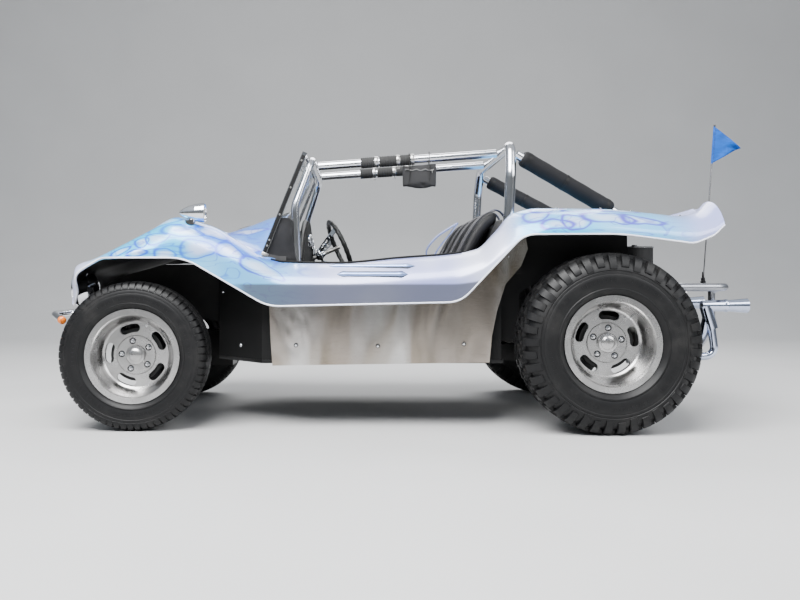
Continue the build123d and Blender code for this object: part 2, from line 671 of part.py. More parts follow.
def exhaust():
    """Two pipes a side into a collector, with a flared tail pipe."""
    s = REAR_AXLE
    y, head_y = 268, HEAD_Y + 31
    rear_path = [point(CYLINDER_S[1] + 67 + SEAT_GAP, -head_y, CRANK_Z + 8), point(s + 592, -head_y, CRANK_Z + 8),
                 point(s + 612, -y, 500)]
    front = CYLINDER_S[0] - 20
    front_path = [point(front, -head_y, CRANK_Z - HEAD_HALF_H - SEAT_GAP), point(front, -head_y, 276),
                  point(s + 652, -y, 298), point(s + 632, -y, 450)]
    pipes = bent_bar(rear_path, 19, [45]) + bent_bar(front_path, 19, [34, 44])
    collector = bar(point(s + 636, -y, 428), point(s + 604, -y, 540), 29)
    rows = [(585, 0), (585, 26), (690, 29), (700, 32), (708, 32), (712, 28), (750, 31), (806, 36), (806, 32),
            (770, 28), (770, 0)]
    tail = make_face(Polyline(*[(station, r) for station, r in rows], close=True))
    tail = Pos(at(s), -y, 540) * revolve(Plane.XZ * tail, Axis.X)
    save("exhaust", both(pipes + collector + tail))


def hoop(base, knee, top, radius, bend):
    """Roll hoop from foot to foot. Each place is (station, y, height) on the left."""
    deep = (base[0], base[1], base[2] - radius)
    left = [point(s, y, z) for s, y, z in (deep, knee, top)]
    right = [point(s, -y, z) for s, y, z in (top, knee, deep)]
    floor = block((base[0] - 100, base[1] - 100, base[2] - 100), (base[0] + 100, 100 - base[1], base[2]))
    return bent_bar(left + right, radius, [bend, bend * 0.6, bend * 0.6, bend]) - floor


def front_hoop(radius):
    foot = (733, -HOOP_Y, GROUND_CLEARANCE + PAN_T + SEAT_GAP)
    return hoop(foot, (705, -HOOP_Y, 1000), (779, 50 - HOOP_Y, 1222), radius, 120)


def main_hoop(radius):
    return hoop(HOOP_FOOT, HOOP_KNEE, HOOP_TOP, radius, 110)


def roof_rail(radius):
    return bar(point(800, -RAIL_Y, 1224), point(1674, -RAIL_Y, 1287), radius)


def cage(panels):
    front, main = front_hoop(FRONT_HOOP_R), main_hoop(MAIN_HOOP_R)
    save("front_hoop", front)
    save("main_hoop", main)
    rails = roof_rail(RAIL_R)
    save("roof_rails", both(rails - front_hoop(FRONT_HOOP_R + SEAT_GAP) - main_hoop(MAIN_HOOP_R + SEAT_GAP)))
    brace = bar(point(*BRACE_TOP), point(*BRACE_FOOT), BRACE_R) - main_hoop(MAIN_HOOP_R + SEAT_GAP)
    for name in ("deck", "rear_wing"):
        brace -= Pos(0, 0, SEAT_GAP) * panels[name]
    save("rear_braces", both(brace.solids().sort_by(SortBy.VOLUME)[-1]))


def bumpers():
    """Chrome bar round the nose, and the tube cage that guards the engine."""
    end = point(-372, -500, 484)
    front = bent_bar([end, point(-430, -420, 505), point(-430, 420, 505), point(-372, 500, 484)], 16, [60, 60])
    for piece in both(bar(point(-420, -200, 503), point(BEAM_S - 30, -200, 430), 11)):
        front += piece
    low, high = (bar(point(BEAM_S, -300, z), point(BEAM_S, 300, z), 32 + SEAT_GAP) for z in BEAM_Z)
    save("front_bumper", (front - high - low).solids().sort_by(SortBy.VOLUME)[-1])
    s, z = REAR_BAR_S, REAR_BAR_Z
    ends = [point(s - 275, -330, z), point(s, -312, z), point(s, 312, z), point(s - 275, 330, z)]
    rear = bent_bar(ends, REAR_BAR_R, [70, 70])
    run = [point(2321, -205, 270), point(s - 140, -203, 283), point(s - 38, -200, 430), point(s - 38, -200, z - 20)]
    loop = bent_bar(run, 17, [60, 80])
    loop += bar(point(s - 38, -200, z - 24), point(s, -200, z), 17)
    for piece in both(loop):
        rear += piece
    save("rear_bumper", rear)


def screen_plane():
    """Plane of the windscreen: x across the car, y up the glass."""
    (s0, z0), (s1, z1) = SCREEN_FOOT, SCREEN_HEAD
    up = Vector(s1 - s0, 0, z1 - z0).normalized()
    return Plane(point(s0, 0, z0), x_dir=(0, -1, 0), z_dir=Vector(0, -1, 0).cross(up))


def slab(face, plane, thickness):
    """Face drawn on a plane, thickened evenly to both sides of it."""
    low = plane.offset(-thickness / 2)
    return extrude(low * face, amount=thickness, dir=low.z_dir)


def windscreen(panels):
    (s0, z0), (s1, z1) = SCREEN_FOOT, SCREEN_HEAD
    height = math.hypot(s1 - s0, z1 - z0)

    def outline(inset):
        w, low, high = SCREEN_HALF_W - inset, inset, height - inset
        edges = [
            ThreePointArc((-w, low), (0, low + SCREEN_CROWN), (w, low)), Line((w, low), (w, high)),
            Line((w, high), (-w, high)), Line((-w, high), (-w, low)),
        ]
        return make_face(Wire(edges))

    plane = screen_plane()
    frame = slab(outline(0) - outline(FRAME_W), plane, FRAME_T) - Pos(0, 0, SEAT_GAP) * panels["nose"]
    save("windscreen_frame", frame.solids().sort_by(SortBy.VOLUME)[-1])
    save("windscreen_glass", slab(outline(FRAME_W + SEAT_GAP), plane, GLASS_T))


def dashboard():
    w, edge_z, low = 495, 758, 640
    arch = make_face(Wire([
        ThreePointArc((-w, edge_z), (0, 966), (w, edge_z)), Line((w, edge_z), (w, low)),
        Line((w, low), (-w, low)), Line((-w, low), (-w, edge_z)),
    ]))
    dash = Pos(at(725), 0, 0) * extrude(Plane.YZ * arch, amount=20, dir=(1, 0, 0))
    save("dashboard", dash - column(COLUMN_R + SEAT_GAP))


def seats():
    """Bucket seats: a cushion and back between two raised bolsters."""
    foot = GROUND_CLEARANCE + PAN_T + SEAT_GAP
    middle = [(1140, foot), (1118, 440), (1180, 452), (1340, 410), (1400, 470), (1570, 900), (1620, 968), (1668, 962),
              (1560, 560), (1500, foot)]
    bolster = [(1150, foot), (1110, 478), (1170, 500), (1290, 478), (1350, 560), (1468, 805), (1560, 952), (1618, 992),
               (1666, 975), (1560, 560), (1500, foot)]
    for side, name in ((-1, "left"), (1, "right")):
        low, high = sorted((side * 95, side * 505))
        seat = side_plate(middle, low, high)
        seat += side_plate(bolster, low, low + BOLSTER_W) + side_plate(bolster, high - BOLSTER_W, high)
        save(f"seat_{name}", seat)


def lamps():
    """Headlamp bowls with their rims, and the amber lamps under the front bumper's ends."""
    s, z = LAMP_PLACE
    rim_back = FRONT_SECTIONS[0][0] - SKIN - SEAT_GAP - s
    rows = [(-68, 0), (-68, LAMP_R - 14), (-74, LAMP_R - 12), (-76, LAMP_R - 4), (-68, LAMP_R + 5),
            (rim_back, LAMP_R + 5), (rim_back, LAMP_R), (0, LAMP_R - 4), (20, LAMP_R - 26), (30, 30), (30, 0)]
    bowl = Pos(at(s), -LAMP_Y, z) * revolve(Plane.XZ * make_face(Polyline(*rows, close=True)), Axis.X)
    save("headlamps", both(bowl))
    along = Vector(58, -80, -21).normalized()
    end = Vector(*point(-372, -500, 484)) + along * SEAT_GAP
    save("indicators", both(bar(end, end + along * 30, 19)))


def mirrors(panels):
    """Bullet mirrors: pointed in front, with a round glass behind, on a stalk and foot."""
    wing = Pos(0, 0, SEAT_GAP) * panels["front_wing"]
    rows = [(-62, 0), (-56, 8), (-40, 20), (-16, 31), (14, 39), (44, 43), (55, 44), (55, 40), (50, 40), (50, 0)]
    bullet = revolve(Plane.XZ * make_face(Polyline(*rows, close=True)), Axis.X)
    for name, side, s, z in (("left", -1, 255, 966), ("right", 1, 335, 942)):
        shell = Pos(at(s), -612, z) * bullet
        shell += bar(point(s - 4, -612, z - 20), point(s - 12, -612, z - 74), 13)
        shell += bar(point(s - 12, -612, z - 110), point(s - 12, -612, z - 34), 24)
        shell = (shell - wing).solids().sort_by(SortBy.VOLUME)[-1]
        save(f"mirror_{name}", shell if side < 0 else mirror(shell, about=Plane.XZ))


def flag():
    """Whip on the rear bar with its small flag."""
    s = REAR_BAR_S
    pole = point(s, 0, REAR_BAR_Z + REAR_BAR_R + SEAT_GAP), point(s + 60, 0, 1465)
    save("flag_whip", bar(*pole, 3.5))
    cloth = side_plate([(s + 54, 1455), (s + 50, 1262), (s + 165, 1290), (s + 98, 1400)], -1.2, 1.2)
    cloth = (cloth - bar(*pole, 3.5 + SEAT_GAP)).solids().sort_by(SortBy.VOLUME)[-1]
    save("flag", cloth)


def cabin_fittings():
    hub = Vector(*point(*STEERING_CENTRE))
    wheel_plane = Plane(hub, x_dir=(0, 1, 0), z_dir=hub - Vector(*point(*WORM_END)))
    ring = wheel_plane * Torus(150, 14)
    centre = Circle(38)
    for turn in (-90, 30, 150):
        spoke = Pos(72, 0) * Rectangle(146, 34)
        for x in (58, 84, 110):
            spoke -= Pos(x, 0) * Circle(9)
        centre += Rot(0, 0, turn) * spoke
    save("steering_wheel", ring + slab(centre, wheel_plane, 2 * WHEEL_BOSS_T))
    top = GROUND_CLEARANCE + TUNNEL_H + SEAT_GAP
    lever = bar(point(1040, 0, top), point(1040, 0, top + 12), 24)
    lever += bar(point(1040, 0, top + 6), point(1060, 0, 620), 8) + Pos(*point(1060, 0, 630)) * Sphere(22)
    brake = bar(point(1160, 20, top + 22), point(1010, 20, top + 100), 10)
    brake += block((1150, 5, top), (1190, 35, top + 38))
    save("levers", lever, brake)
    pedals = []
    for y in (150, 220, 290):
        pedal = block((PAN_FRONT + 6 + SEAT_GAP, y - 14, 535), (PAN_FRONT + 22, y + 14, 572))
        pedal += bar(point(PAN_FRONT + 16, y, 552), point(PAN_FRONT + 90, y, 420), 7)
        pedal += Pos(*point(PAN_FRONT + 92, y, 416)) * (Rot(0, -35, 0) * Box(10, 50, 66))
        pedals.append(pedal)
    save("pedals", *pedals)
    bag = block((1215, -RAIL_Y - 22, 1150), (1375, -RAIL_Y + 22, 1240)) - roof_rail(RAIL_R + SEAT_GAP)
    save("roof_bag", bag)
    top, foot = Vector(*point(*BRACE_TOP)), Vector(*point(*BRACE_FOOT))
    run = foot - top
    pad = bar(top + run * 0.08, top + run * 0.76, PAD_R) - bar(top, foot, BRACE_R + SEAT_GAP)
    save("brace_pads", both(pad))


panels = body()
alloy_panels()
floor_pan()
cabin_tub()
nose_tub()
front_beam()
dampers()
steering_gear()
knuckles()
steering_links()
wheels()
rear_suspension()
transaxle()
engine()
fan_belt()
cooling()
induction()
exhaust()
cage(panels)
bumpers()
windscreen(panels)
dashboard()
seats()
lamps()
mirrors(panels)
flag()
cabin_fittings()
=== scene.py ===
"""Dresses the dune buggy: paint, polished metal, rubber, soft parts and the studio."""
import math

import bmesh
import bpy
from bpy.props import FloatProperty, FloatVectorProperty, IntProperty, PointerProperty
from mathutils import Matrix, Vector


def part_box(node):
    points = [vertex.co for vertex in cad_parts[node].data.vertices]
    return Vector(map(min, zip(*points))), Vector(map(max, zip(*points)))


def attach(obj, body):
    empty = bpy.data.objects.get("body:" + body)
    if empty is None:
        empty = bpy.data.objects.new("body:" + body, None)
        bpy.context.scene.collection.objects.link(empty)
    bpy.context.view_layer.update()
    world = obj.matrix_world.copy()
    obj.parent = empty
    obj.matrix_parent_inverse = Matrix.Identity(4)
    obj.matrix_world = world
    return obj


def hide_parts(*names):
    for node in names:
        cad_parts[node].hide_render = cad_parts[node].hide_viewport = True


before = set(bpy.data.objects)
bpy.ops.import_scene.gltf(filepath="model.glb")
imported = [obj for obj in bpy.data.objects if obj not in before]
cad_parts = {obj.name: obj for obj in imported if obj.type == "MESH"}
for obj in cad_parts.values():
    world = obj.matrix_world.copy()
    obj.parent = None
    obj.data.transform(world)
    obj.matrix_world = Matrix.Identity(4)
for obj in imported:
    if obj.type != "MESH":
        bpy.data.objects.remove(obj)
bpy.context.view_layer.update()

bl_info = {
    "name": "Dune buggy dresser",
    "version": (1, 0, 0),
    "blender": (4, 5, 0),
    "location": "View3D > Sidebar > Buggy",
    "description": "Builds the visible surfaces of an open dune buggy round its frame",
    "category": "Object",
}


def middle(node):
    """Middle of a node's box, in the frame's metres."""
    low, high = (Vector(corner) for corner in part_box(node))
    return (low + high) / 2


FRONT_AXLE = middle("tyre_front_left")
REAR_AXLE = middle("tyre_rear_left")
AXLE_X = FRONT_AXLE.x
MM = 0.001
# Materials by name, filled by the first operator
FINISHES = {}


# Shader maths

class Value:
    """A shader socket that takes part in Python expressions."""

    def __init__(self, maker, socket):
        self.maker, self.socket = maker, socket

    def maths(self, operation, other=None, flip=False):
        terms = [self] if other is None else [self, other]
        if flip:
            terms.reverse()
        return self.maker.value("ShaderNodeMath", {"operation": operation}, dict(enumerate(terms)))

    def __add__(self, other):
        return self.maths("ADD", other)

    __radd__ = __add__

    def __sub__(self, other):
        return self.maths("SUBTRACT", other)

    def __rsub__(self, other):
        return self.maths("SUBTRACT", other, flip=True)

    def __mul__(self, other):
        return self.maths("MULTIPLY", other)

    __rmul__ = __mul__

    def __truediv__(self, other):
        return self.maths("DIVIDE", other)

    def __pow__(self, other):
        return self.maths("POWER", other)

    def most(self, other):
        return self.maths("MAXIMUM", other)

    def size(self):
        return self.maths("ABSOLUTE")

    def sine(self):
        return self.maths("SINE")

    def rise(self, start, end):
        """Smooth step from 0 at start to 1 at end."""
        return self.maker.value("ShaderNodeMapRange", {"interpolation_type": "SMOOTHSTEP"},
                                {"Value": self, "From Min": start, "From Max": end})

    def band(self, start, full, fade, end):
        """1 from full to fade, easing to 0 at start and end."""
        return self.rise(start, full) * (1.0 - self.rise(fade, end))


class NodeMaker:
    """Makes and links the nodes of one tree."""

    def __init__(self, tree):
        self.tree = tree

    def node(self, kind, settings=None, sockets=None):
        """A node of a kind: its settings first, with a ramp's stops as stops, then its sockets."""
        made = self.tree.nodes.new(kind)
        for key, setting in (settings or {}).items():
            if key == "stops":
                for place, colour in setting[2:]:
                    made.color_ramp.elements.new(place)
                for element, (place, colour) in zip(made.color_ramp.elements, setting):
                    element.position, element.color = place, (*colour, 1)
            else:
                setattr(made, key, setting)
        for key, value in (sockets or {}).items():
            self.feed(made.inputs[key], value)
        return made

    def feed(self, socket, value):
        if isinstance(value, Value):
            self.tree.links.new(value.socket, socket)
        elif hasattr(value, "__len__") and len(value) == 3 and socket.type == "RGBA":
            socket.default_value = (*value, 1)
        else:
            socket.default_value = value

    def value(self, kind, settings=None, sockets=None, output=0):
        return Value(self, self.node(kind, settings, sockets).outputs[output])


class Finish(NodeMaker):
    """One material and the nodes that make it."""

    def __init__(self, name):
        self.material = bpy.data.materials.new(name)
        self.material.use_nodes = True
        super().__init__(self.material.node_tree)
        self.surface = self.tree.nodes["Principled BSDF"]

    def place(self):
        return self.value("ShaderNodeTexCoord", output="Object")

    def axes(self):
        apart = self.node("ShaderNodeSeparateXYZ", sockets={0: self.place()})
        return [Value(self, socket) for socket in apart.outputs]

    def joined(self, x, y, z):
        return self.value("ShaderNodeCombineXYZ", sockets={0: x, 1: y, 2: z})

    def stretched(self, scale):
        return self.value("ShaderNodeVectorMath", {"operation": "MULTIPLY"}, {0: self.place(), 1: scale})

    def noise(self, scale, detail=3.0, vector=None, roughness=0.5, distortion=0.0):
        return self.value("ShaderNodeTexNoise", sockets={
            "Vector": vector or self.place(), "Scale": scale, "Detail": detail,
            "Roughness": roughness, "Distortion": distortion})

    def mix(self, factor, first, second):
        made = self.node("ShaderNodeMix", {"data_type": "RGBA", "clamp_factor": True})
        for socket, value in zip((made.inputs[0], made.inputs[6], made.inputs[7]), (factor, first, second)):
            self.feed(socket, value)
        return Value(self, made.outputs[2])

    def bump(self, height, strength=0.3, distance=0.002):
        return self.value("ShaderNodeBump", sockets={"Height": height, "Strength": strength,
                                                     "Distance": distance})

    def set(self, **values):
        """Principled inputs by name, with _ for a space."""
        for key, value in values.items():
            self.feed(self.surface.inputs[key.replace("_", " ")], value)
        return self


# Mesh building

def spot(station, y, z):
    """Millimetres, counted from the front axle, to the frame's metres."""
    return Vector((AXLE_X + station * MM, y * MM, z * MM))


def piece(name, shape, finish, body="chassis", smooth=40.0):
    """Turns a bmesh into an object in one finish that rides on a body."""
    mesh = bpy.data.meshes.new(name)
    bmesh.ops.recalc_face_normals(shape, faces=shape.faces)
    shape.to_mesh(mesh)
    shape.free()
    made = bpy.data.objects.new(name, mesh)
    bpy.context.scene.collection.objects.link(made)
    mesh.materials.append(FINISHES[finish])
    mesh.shade_smooth()
    if smooth < 180:
        mesh.set_sharp_from_angle(angle=math.radians(smooth))
    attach(made, body)
    return made


def modified(made, kind, **settings):
    """Gives an object one modifier with the given settings."""
    modifier = made.modifiers.new(kind.title(), kind)
    for key, value in settings.items():
        setattr(modifier, key, value)
    return modifier


def applied(made):
    """Writes an object's modifiers into its mesh."""
    view = bpy.context.evaluated_depsgraph_get()
    mesh = bpy.data.meshes.new_from_object(made.evaluated_get(view), depsgraph=view)
    made.modifiers.clear()
    made.data = mesh
    return made


def turned_frame(centre, axis, up=(0, 0, 1)):
    """Matrix whose Z lies along axis."""
    z = Vector(axis).normalized()
    x = Vector(up).cross(z)
    if x.length < 1e-4:
        x = Vector((1, 0, 0)).cross(z)
    x.normalize()
    made = Matrix((x, z.cross(x), z)).transposed().to_4x4()
    made.translation = centre
    return made


def skin(shape, rings, closed=True, capped=False):
    """Faces between rows of points; closed joins each row's last point to its first."""
    rows = [[shape.verts.new(point) for point in ring] for ring in rings]
    count = len(rows[0])
    for low, high in zip(rows, rows[1:]):
        for i in range(count if closed else count - 1):
            j = (i + 1) % count
            shape.faces.new([low[i], low[j], high[j], high[i]])
    if capped:
        for row in (rows[0][::-1], rows[-1]):
            shape.faces.new(row)


def lathe(shape, profile, frame_matrix, segments=32):
    """Turns (radius, height) pairs, in mm, round the frame's Z."""
    rings = []
    for radius, height in profile:
        rings.append([frame_matrix @ (Vector((math.cos(a) * radius, math.sin(a) * radius, height)) * MM)
                      for a in (math.tau * i / segments for i in range(segments))])
    skin(shape, rings)


def sweep(shape, path, section, up=(0, 0, 1), grow=None):
    """Carries a flat section of (across, upward) mm pairs along a path of frame points."""
    rings = []
    side = None
    for i, here in enumerate(path):
        ahead = (path[min(i + 1, len(path) - 1)] - path[max(i - 1, 0)]).normalized()
        if side is None:
            side = ahead.cross(Vector(up))
            if side.length < 1e-4:
                side = ahead.cross(Vector((1, 0, 0)))
        side = (side - ahead * side.dot(ahead)).normalized()
        high = side.cross(ahead)
        scale = grow(i / (len(path) - 1)) if grow else 1.0
        rings.append([here + (side * a + high * b) * MM * scale for a, b in section])
    skin(shape, rings, capped=True)


def round_section(radius, count=12):
    """Outline of a round bar."""
    return [(radius * math.cos(a), radius * math.sin(a))
            for a in (math.tau * i / count for i in range(count))]


def slab_section(width, height, bevel=1.0):
    """Outline of a flat bar with its corners cut."""
    w, h, b = width / 2, height / 2, bevel
    return [(w - b, -h), (w, -h + b), (w, h - b), (w - b, h), (-w + b, h), (-w, h - b), (-w, -h + b),
            (-w + b, -h)]


def eased(points, steps=6, closed=False):
    """A smooth line through points."""
    count = len(points)
    made = []
    for i in range(count if closed else count - 1):
        near = [(i + k) % count if closed else max(0, min(count - 1, i + k)) for k in (-1, 0, 1, 2)]
        a, b, c, d = (points[k] for k in near)
        square, cube = 2 * a - 5 * b + 4 * c - d, 3 * b - a - 3 * c + d
        for step in range(steps):
            t = step / steps
            made.append(0.5 * ((2 * b) + (c - a) * t + square * t * t + cube * t ** 3))
    if not closed:
        made.append(points[-1].copy())
    return made


def brick(shape, place, size, round_by=2.0, steps=2):
    """A block with rounded edges; place is a matrix at its middle and size is in mm."""
    made = bmesh.ops.create_cube(shape, size=1.0, matrix=place @ Matrix.Diagonal((*(Vector(size) * MM), 1)))
    edges = list(dict.fromkeys(edge for vertex in made["verts"] for edge in vertex.link_edges))
    bmesh.ops.bevel(shape, geom=edges, offset=round_by * MM, segments=steps, profile=0.5, affect="EDGES")


def screw_head(shape, place, normal, across=9.0, height=3.0):
    """A domed screw head on its washer."""
    r = across / 2
    lathe(shape, [(0.1, height), (r * 0.35, height), (r * 0.45, height * 0.82), (r * 0.75, height * 0.75),
                  (r, height * 0.3), (r * 1.02, 0), (r * 1.35, 0), (r * 1.35, -0.6)],
          turned_frame(place, normal), segments=14)


def puffed(made, voxel=0.007, pressure=4.0, cap=0.012):
    """Fills a closed form with air as cloth, and writes the result into its mesh."""
    modified(made, "REMESH", mode="VOXEL", voxel_size=voxel, use_smooth_shade=True)
    applied(made)
    scene = bpy.context.scene
    rest = [vertex.co.copy() for vertex in made.data.vertices]
    cloth = modified(made, "CLOTH")
    cloth.settings.quality = 5
    cloth.settings.use_pressure = True
    cloth.settings.uniform_pressure_force = pressure
    cloth.settings.tension_stiffness = cloth.settings.compression_stiffness = 25
    cloth.settings.effector_weights.gravity = 0.0
    cloth.point_cache.frame_start, cloth.point_cache.frame_end = 1, scene.buggy_sizes.cloth_frames
    for step in range(1, scene.buggy_sizes.cloth_frames + 1):
        scene.frame_set(step)
    applied(made)
    for vertex, start in zip(made.data.vertices, rest):
        moved = vertex.co - start
        if moved.length > cap:
            vertex.co = start + moved.normalized() * cap
    scene.frame_set(1)
    modified(made, "SMOOTH", factor=0.5, iterations=2)
    return applied(made)


def finer(made):
    """Splits each face once more and rounds it."""
    modified(made, "SUBSURF", levels=1, render_levels=1)
    applied(made)
    made.data.shade_smooth()
    return made


def pressed(made, depth_at):
    """Pushes each point in along its normal by depth_at(point, normal), in metres."""
    for vertex in made.data.vertices:
        depth = depth_at(vertex.co, vertex.normal)
        if depth:
            vertex.co = vertex.co - vertex.normal * depth
    return made


def mirrored(made, name):
    """The same piece on the other side of the car."""
    mesh = made.data.copy()
    mesh.transform(Matrix.Scale(-1, 4, (0, 1, 0)))
    mesh.flip_normals()
    twin = bpy.data.objects.new(name, mesh)
    bpy.context.scene.collection.objects.link(twin)
    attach(twin, "chassis")
    return twin


def pillow_section(width, height, count=28, power=3.2):
    """Closed outline of a cushion seen end on."""
    made = []
    for i in range(count):
        a = math.tau * i / count
        c, s = math.cos(a), math.sin(a)
        made.append((width / 2 * math.copysign(abs(c) ** (2 / power), c),
                     height / 2 * math.copysign(abs(s) ** (2 / power), s)))
    return made


def strap(shape, path, width, thick=2.2, up=(0, 0, 1)):
    """Flat webbing with thicker selvedges, carried along a path."""
    w, h = width / 2, thick / 2
    section = [(-w, -h), (-w * 0.86, -h * 0.7), (0, -h * 0.75), (w * 0.86, -h * 0.7), (w, -h),
               (w, h), (w * 0.86, h * 0.7), (0, h * 0.75), (-w * 0.86, h * 0.7), (-w, h)]
    sweep(shape, path, section, up=up)


# Body

# Half sections, in mm: station, half width at the lip, shoulder y, z, crest y, z, valley y, z
SECTIONS = (
    (-335, 440, 434, 600, 400, 628, 350, 626), (-316, 530, 524, 638, 480, 684, 395, 668),
    (-276, 650, 643, 680, 568, 730, 405, 704), (-205, 694, 688, 714, 594, 754, 406, 724),
    (-80, 700, 692, 762, 600, 813, 400, 762), (60, 702, 692, 800, 600, 884, 400, 806),
    (176, 702, 690, 790, 600, 939, 405, 846), (330, 700, 690, 738, 600, 898, 432, 862),
    (470, 700, 694, 690, 604, 826, 508, 810), (560, 700, 697, 664, 622, 764, 560, 768),
    (660, 700, 700, 646, 646, 712, 575, 744), (900, 700, 700, 646, 646, 708, 575, 739),
    (1180, 700, 700, 659, 646, 726, 575, 762), (1420, 702, 702, 675, 646, 745, 575, 781),
    (1530, 716, 715, 712, 646, 782, 572, 806), (1610, 734, 732, 778, 640, 870, 562, 880),
    (1690, 756, 752, 846, 626, 960, 545, 962), (1800, 774, 770, 884, 608, 986, 515, 978),
    (2050, 785, 780, 890, 600, 985, 482, 962), (2290, 780, 774, 872, 600, 966, 468, 942),
    (2440, 768, 762, 866, 596, 952, 462, 934), (2530, 752, 746, 888, 588, 974, 462, 954),
    (2582, 738, 731, 912, 575, 1018, 462, 1008),
)
# Centre line of the nose and of the deck: station, height
NOSE_CREST = ((-335, 612), (-316, 650), (-276, 692), (-205, 718), (-80, 764), (60, 824), (176, 862),
              (330, 900), (470, 950), (560, 985), (660, 1006))
DECK_CREST = ((1690, 930), (1800, 930), (2050, 918), (2290, 908), (2440, 908), (2530, 934), (2582, 994))
# Corners of the lower edge: station, height, radius
LIP_LINE = ((-335, 551, 0), (-303, 551, 6), (-262, 612, 30), (-263, 690, 60), (-150, 762, 70),
            (230, 763, 260), (598, 549, 200), (1442, 568, 130), (1712, 862, 110), (2120, 862, 900),
            (2440, 822, 90), (2530, 858, 60), (2582, 903, 0))
# Station of the body's top over each corner of the lower edge
LIP_TOPS = (-335, -318, -296, -268, -158, 200, 570, 1442, 1694, 2120, 2440, 2520, 2582)
COWL_END, DECK_START = 660, 1690
BAND_COLUMNS, BROW_COLUMNS, CROWN_COLUMNS = 14, 10, 15
ARC_STEPS, FLANK_STEPS = 96, 40
FLANK_FOOT = 520
# Height of the nose's front edge, and how far it is drawn back as it turns under
NOSE_EDGE, NOSE_TURN = 551, 5.5


def slopes(knots, values):
    """Tangents that never overshoot."""
    rates = [(b - a) / (q - p) for p, q, a, b in zip(knots, knots[1:], values, values[1:])]
    inner = [0.0 if a * b <= 0 else 2 * a * b / (a + b) for a, b in zip(rates, rates[1:])]
    return [rates[0], *inner, rates[-1]]


def along(knots, values, tangents, x):
    """Smooth value at x."""
    x = min(max(x, knots[0]), knots[-1])
    i = max(k for k in range(len(knots) - 1) if knots[k] <= x)
    gap = knots[i + 1] - knots[i]
    t = (x - knots[i]) / gap
    return ((2 * t ** 3 - 3 * t * t + 1) * values[i] + (t ** 3 - 2 * t * t + t) * gap * tangents[i]
            + (3 * t * t - 2 * t ** 3) * values[i + 1] + (t ** 3 - t * t) * gap * tangents[i + 1])


def track(rows, column=1):
    """A smooth function through one column of a table, by its first column."""
    knots, values = [row[0] for row in rows], [row[column] for row in rows]
    tangents = slopes(knots, values)
    return lambda x: along(knots, values, tangents, x)


def softened(corners, steps=12):
    """A line of (x, z, radius) corners with each corner rounded."""
    made = [Vector(corners[0][:2])]
    for before, corner, after in zip(corners, corners[1:], corners[2:]):
        tip = Vector(corner[:2])
        inward, outward = (Vector(before[:2]) - tip).normalized(), (Vector(after[:2]) - tip).normalized()
        half = inward.angle(outward) / 2
        reach = corner[2] / math.tan(half)
        first, last = tip + inward * reach, tip + outward * reach
        for i in range(steps + 1):
            t = i / steps
            made.append((1 - t) ** 2 * first + 2 * t * (1 - t) * tip + t * t * last)
    made.append(Vector(corners[-1][:2]))
    return made


def evened(points, spacing=None, count=None):
    """The same line with evenly spaced points."""
    lengths = [0.0]
    for a, b in zip(points, points[1:]):
        lengths.append(lengths[-1] + (b - a).length)
    count = count or max(2, round(lengths[-1] / spacing))
    made, i = [], 0
    for k in range(count + 1):
        goal = lengths[-1] * k / count
        while i < len(points) - 2 and lengths[i + 1] < goal:
            i += 1
        share = (goal - lengths[i]) / max(1e-9, lengths[i + 1] - lengths[i])
        made.append(points[i].lerp(points[i + 1], share))
    return made


def three_point_arc(a, b, c, count):
    """Points round the circle through a, b and c."""
    ab, bc = (a + b) / 2, (b + c) / 2
    n1, n2 = Vector((-(b - a).y, (b - a).x)), Vector((-(c - b).y, (c - b).x))
    cross = n1.x * n2.y - n1.y * n2.x
    if abs(cross) < 1e-6:
        return [a.lerp(c, i / count) for i in range(count + 1)]
    t = ((bc - ab).x * n2.y - (bc - ab).y * n2.x) / cross
    hub = ab + n1 * t
    start, mid, end = (math.atan2((p - hub).y, (p - hub).x) for p in (a, b, c))
    sweep_by = (end - start) % math.tau
    if (mid - start) % math.tau > sweep_by:
        sweep_by -= math.tau
    radius = (a - hub).length
    turns = [start + sweep_by * i / count for i in range(count + 1)]
    return [hub + radius * Vector((math.cos(turn), math.sin(turn))) for turn in turns]


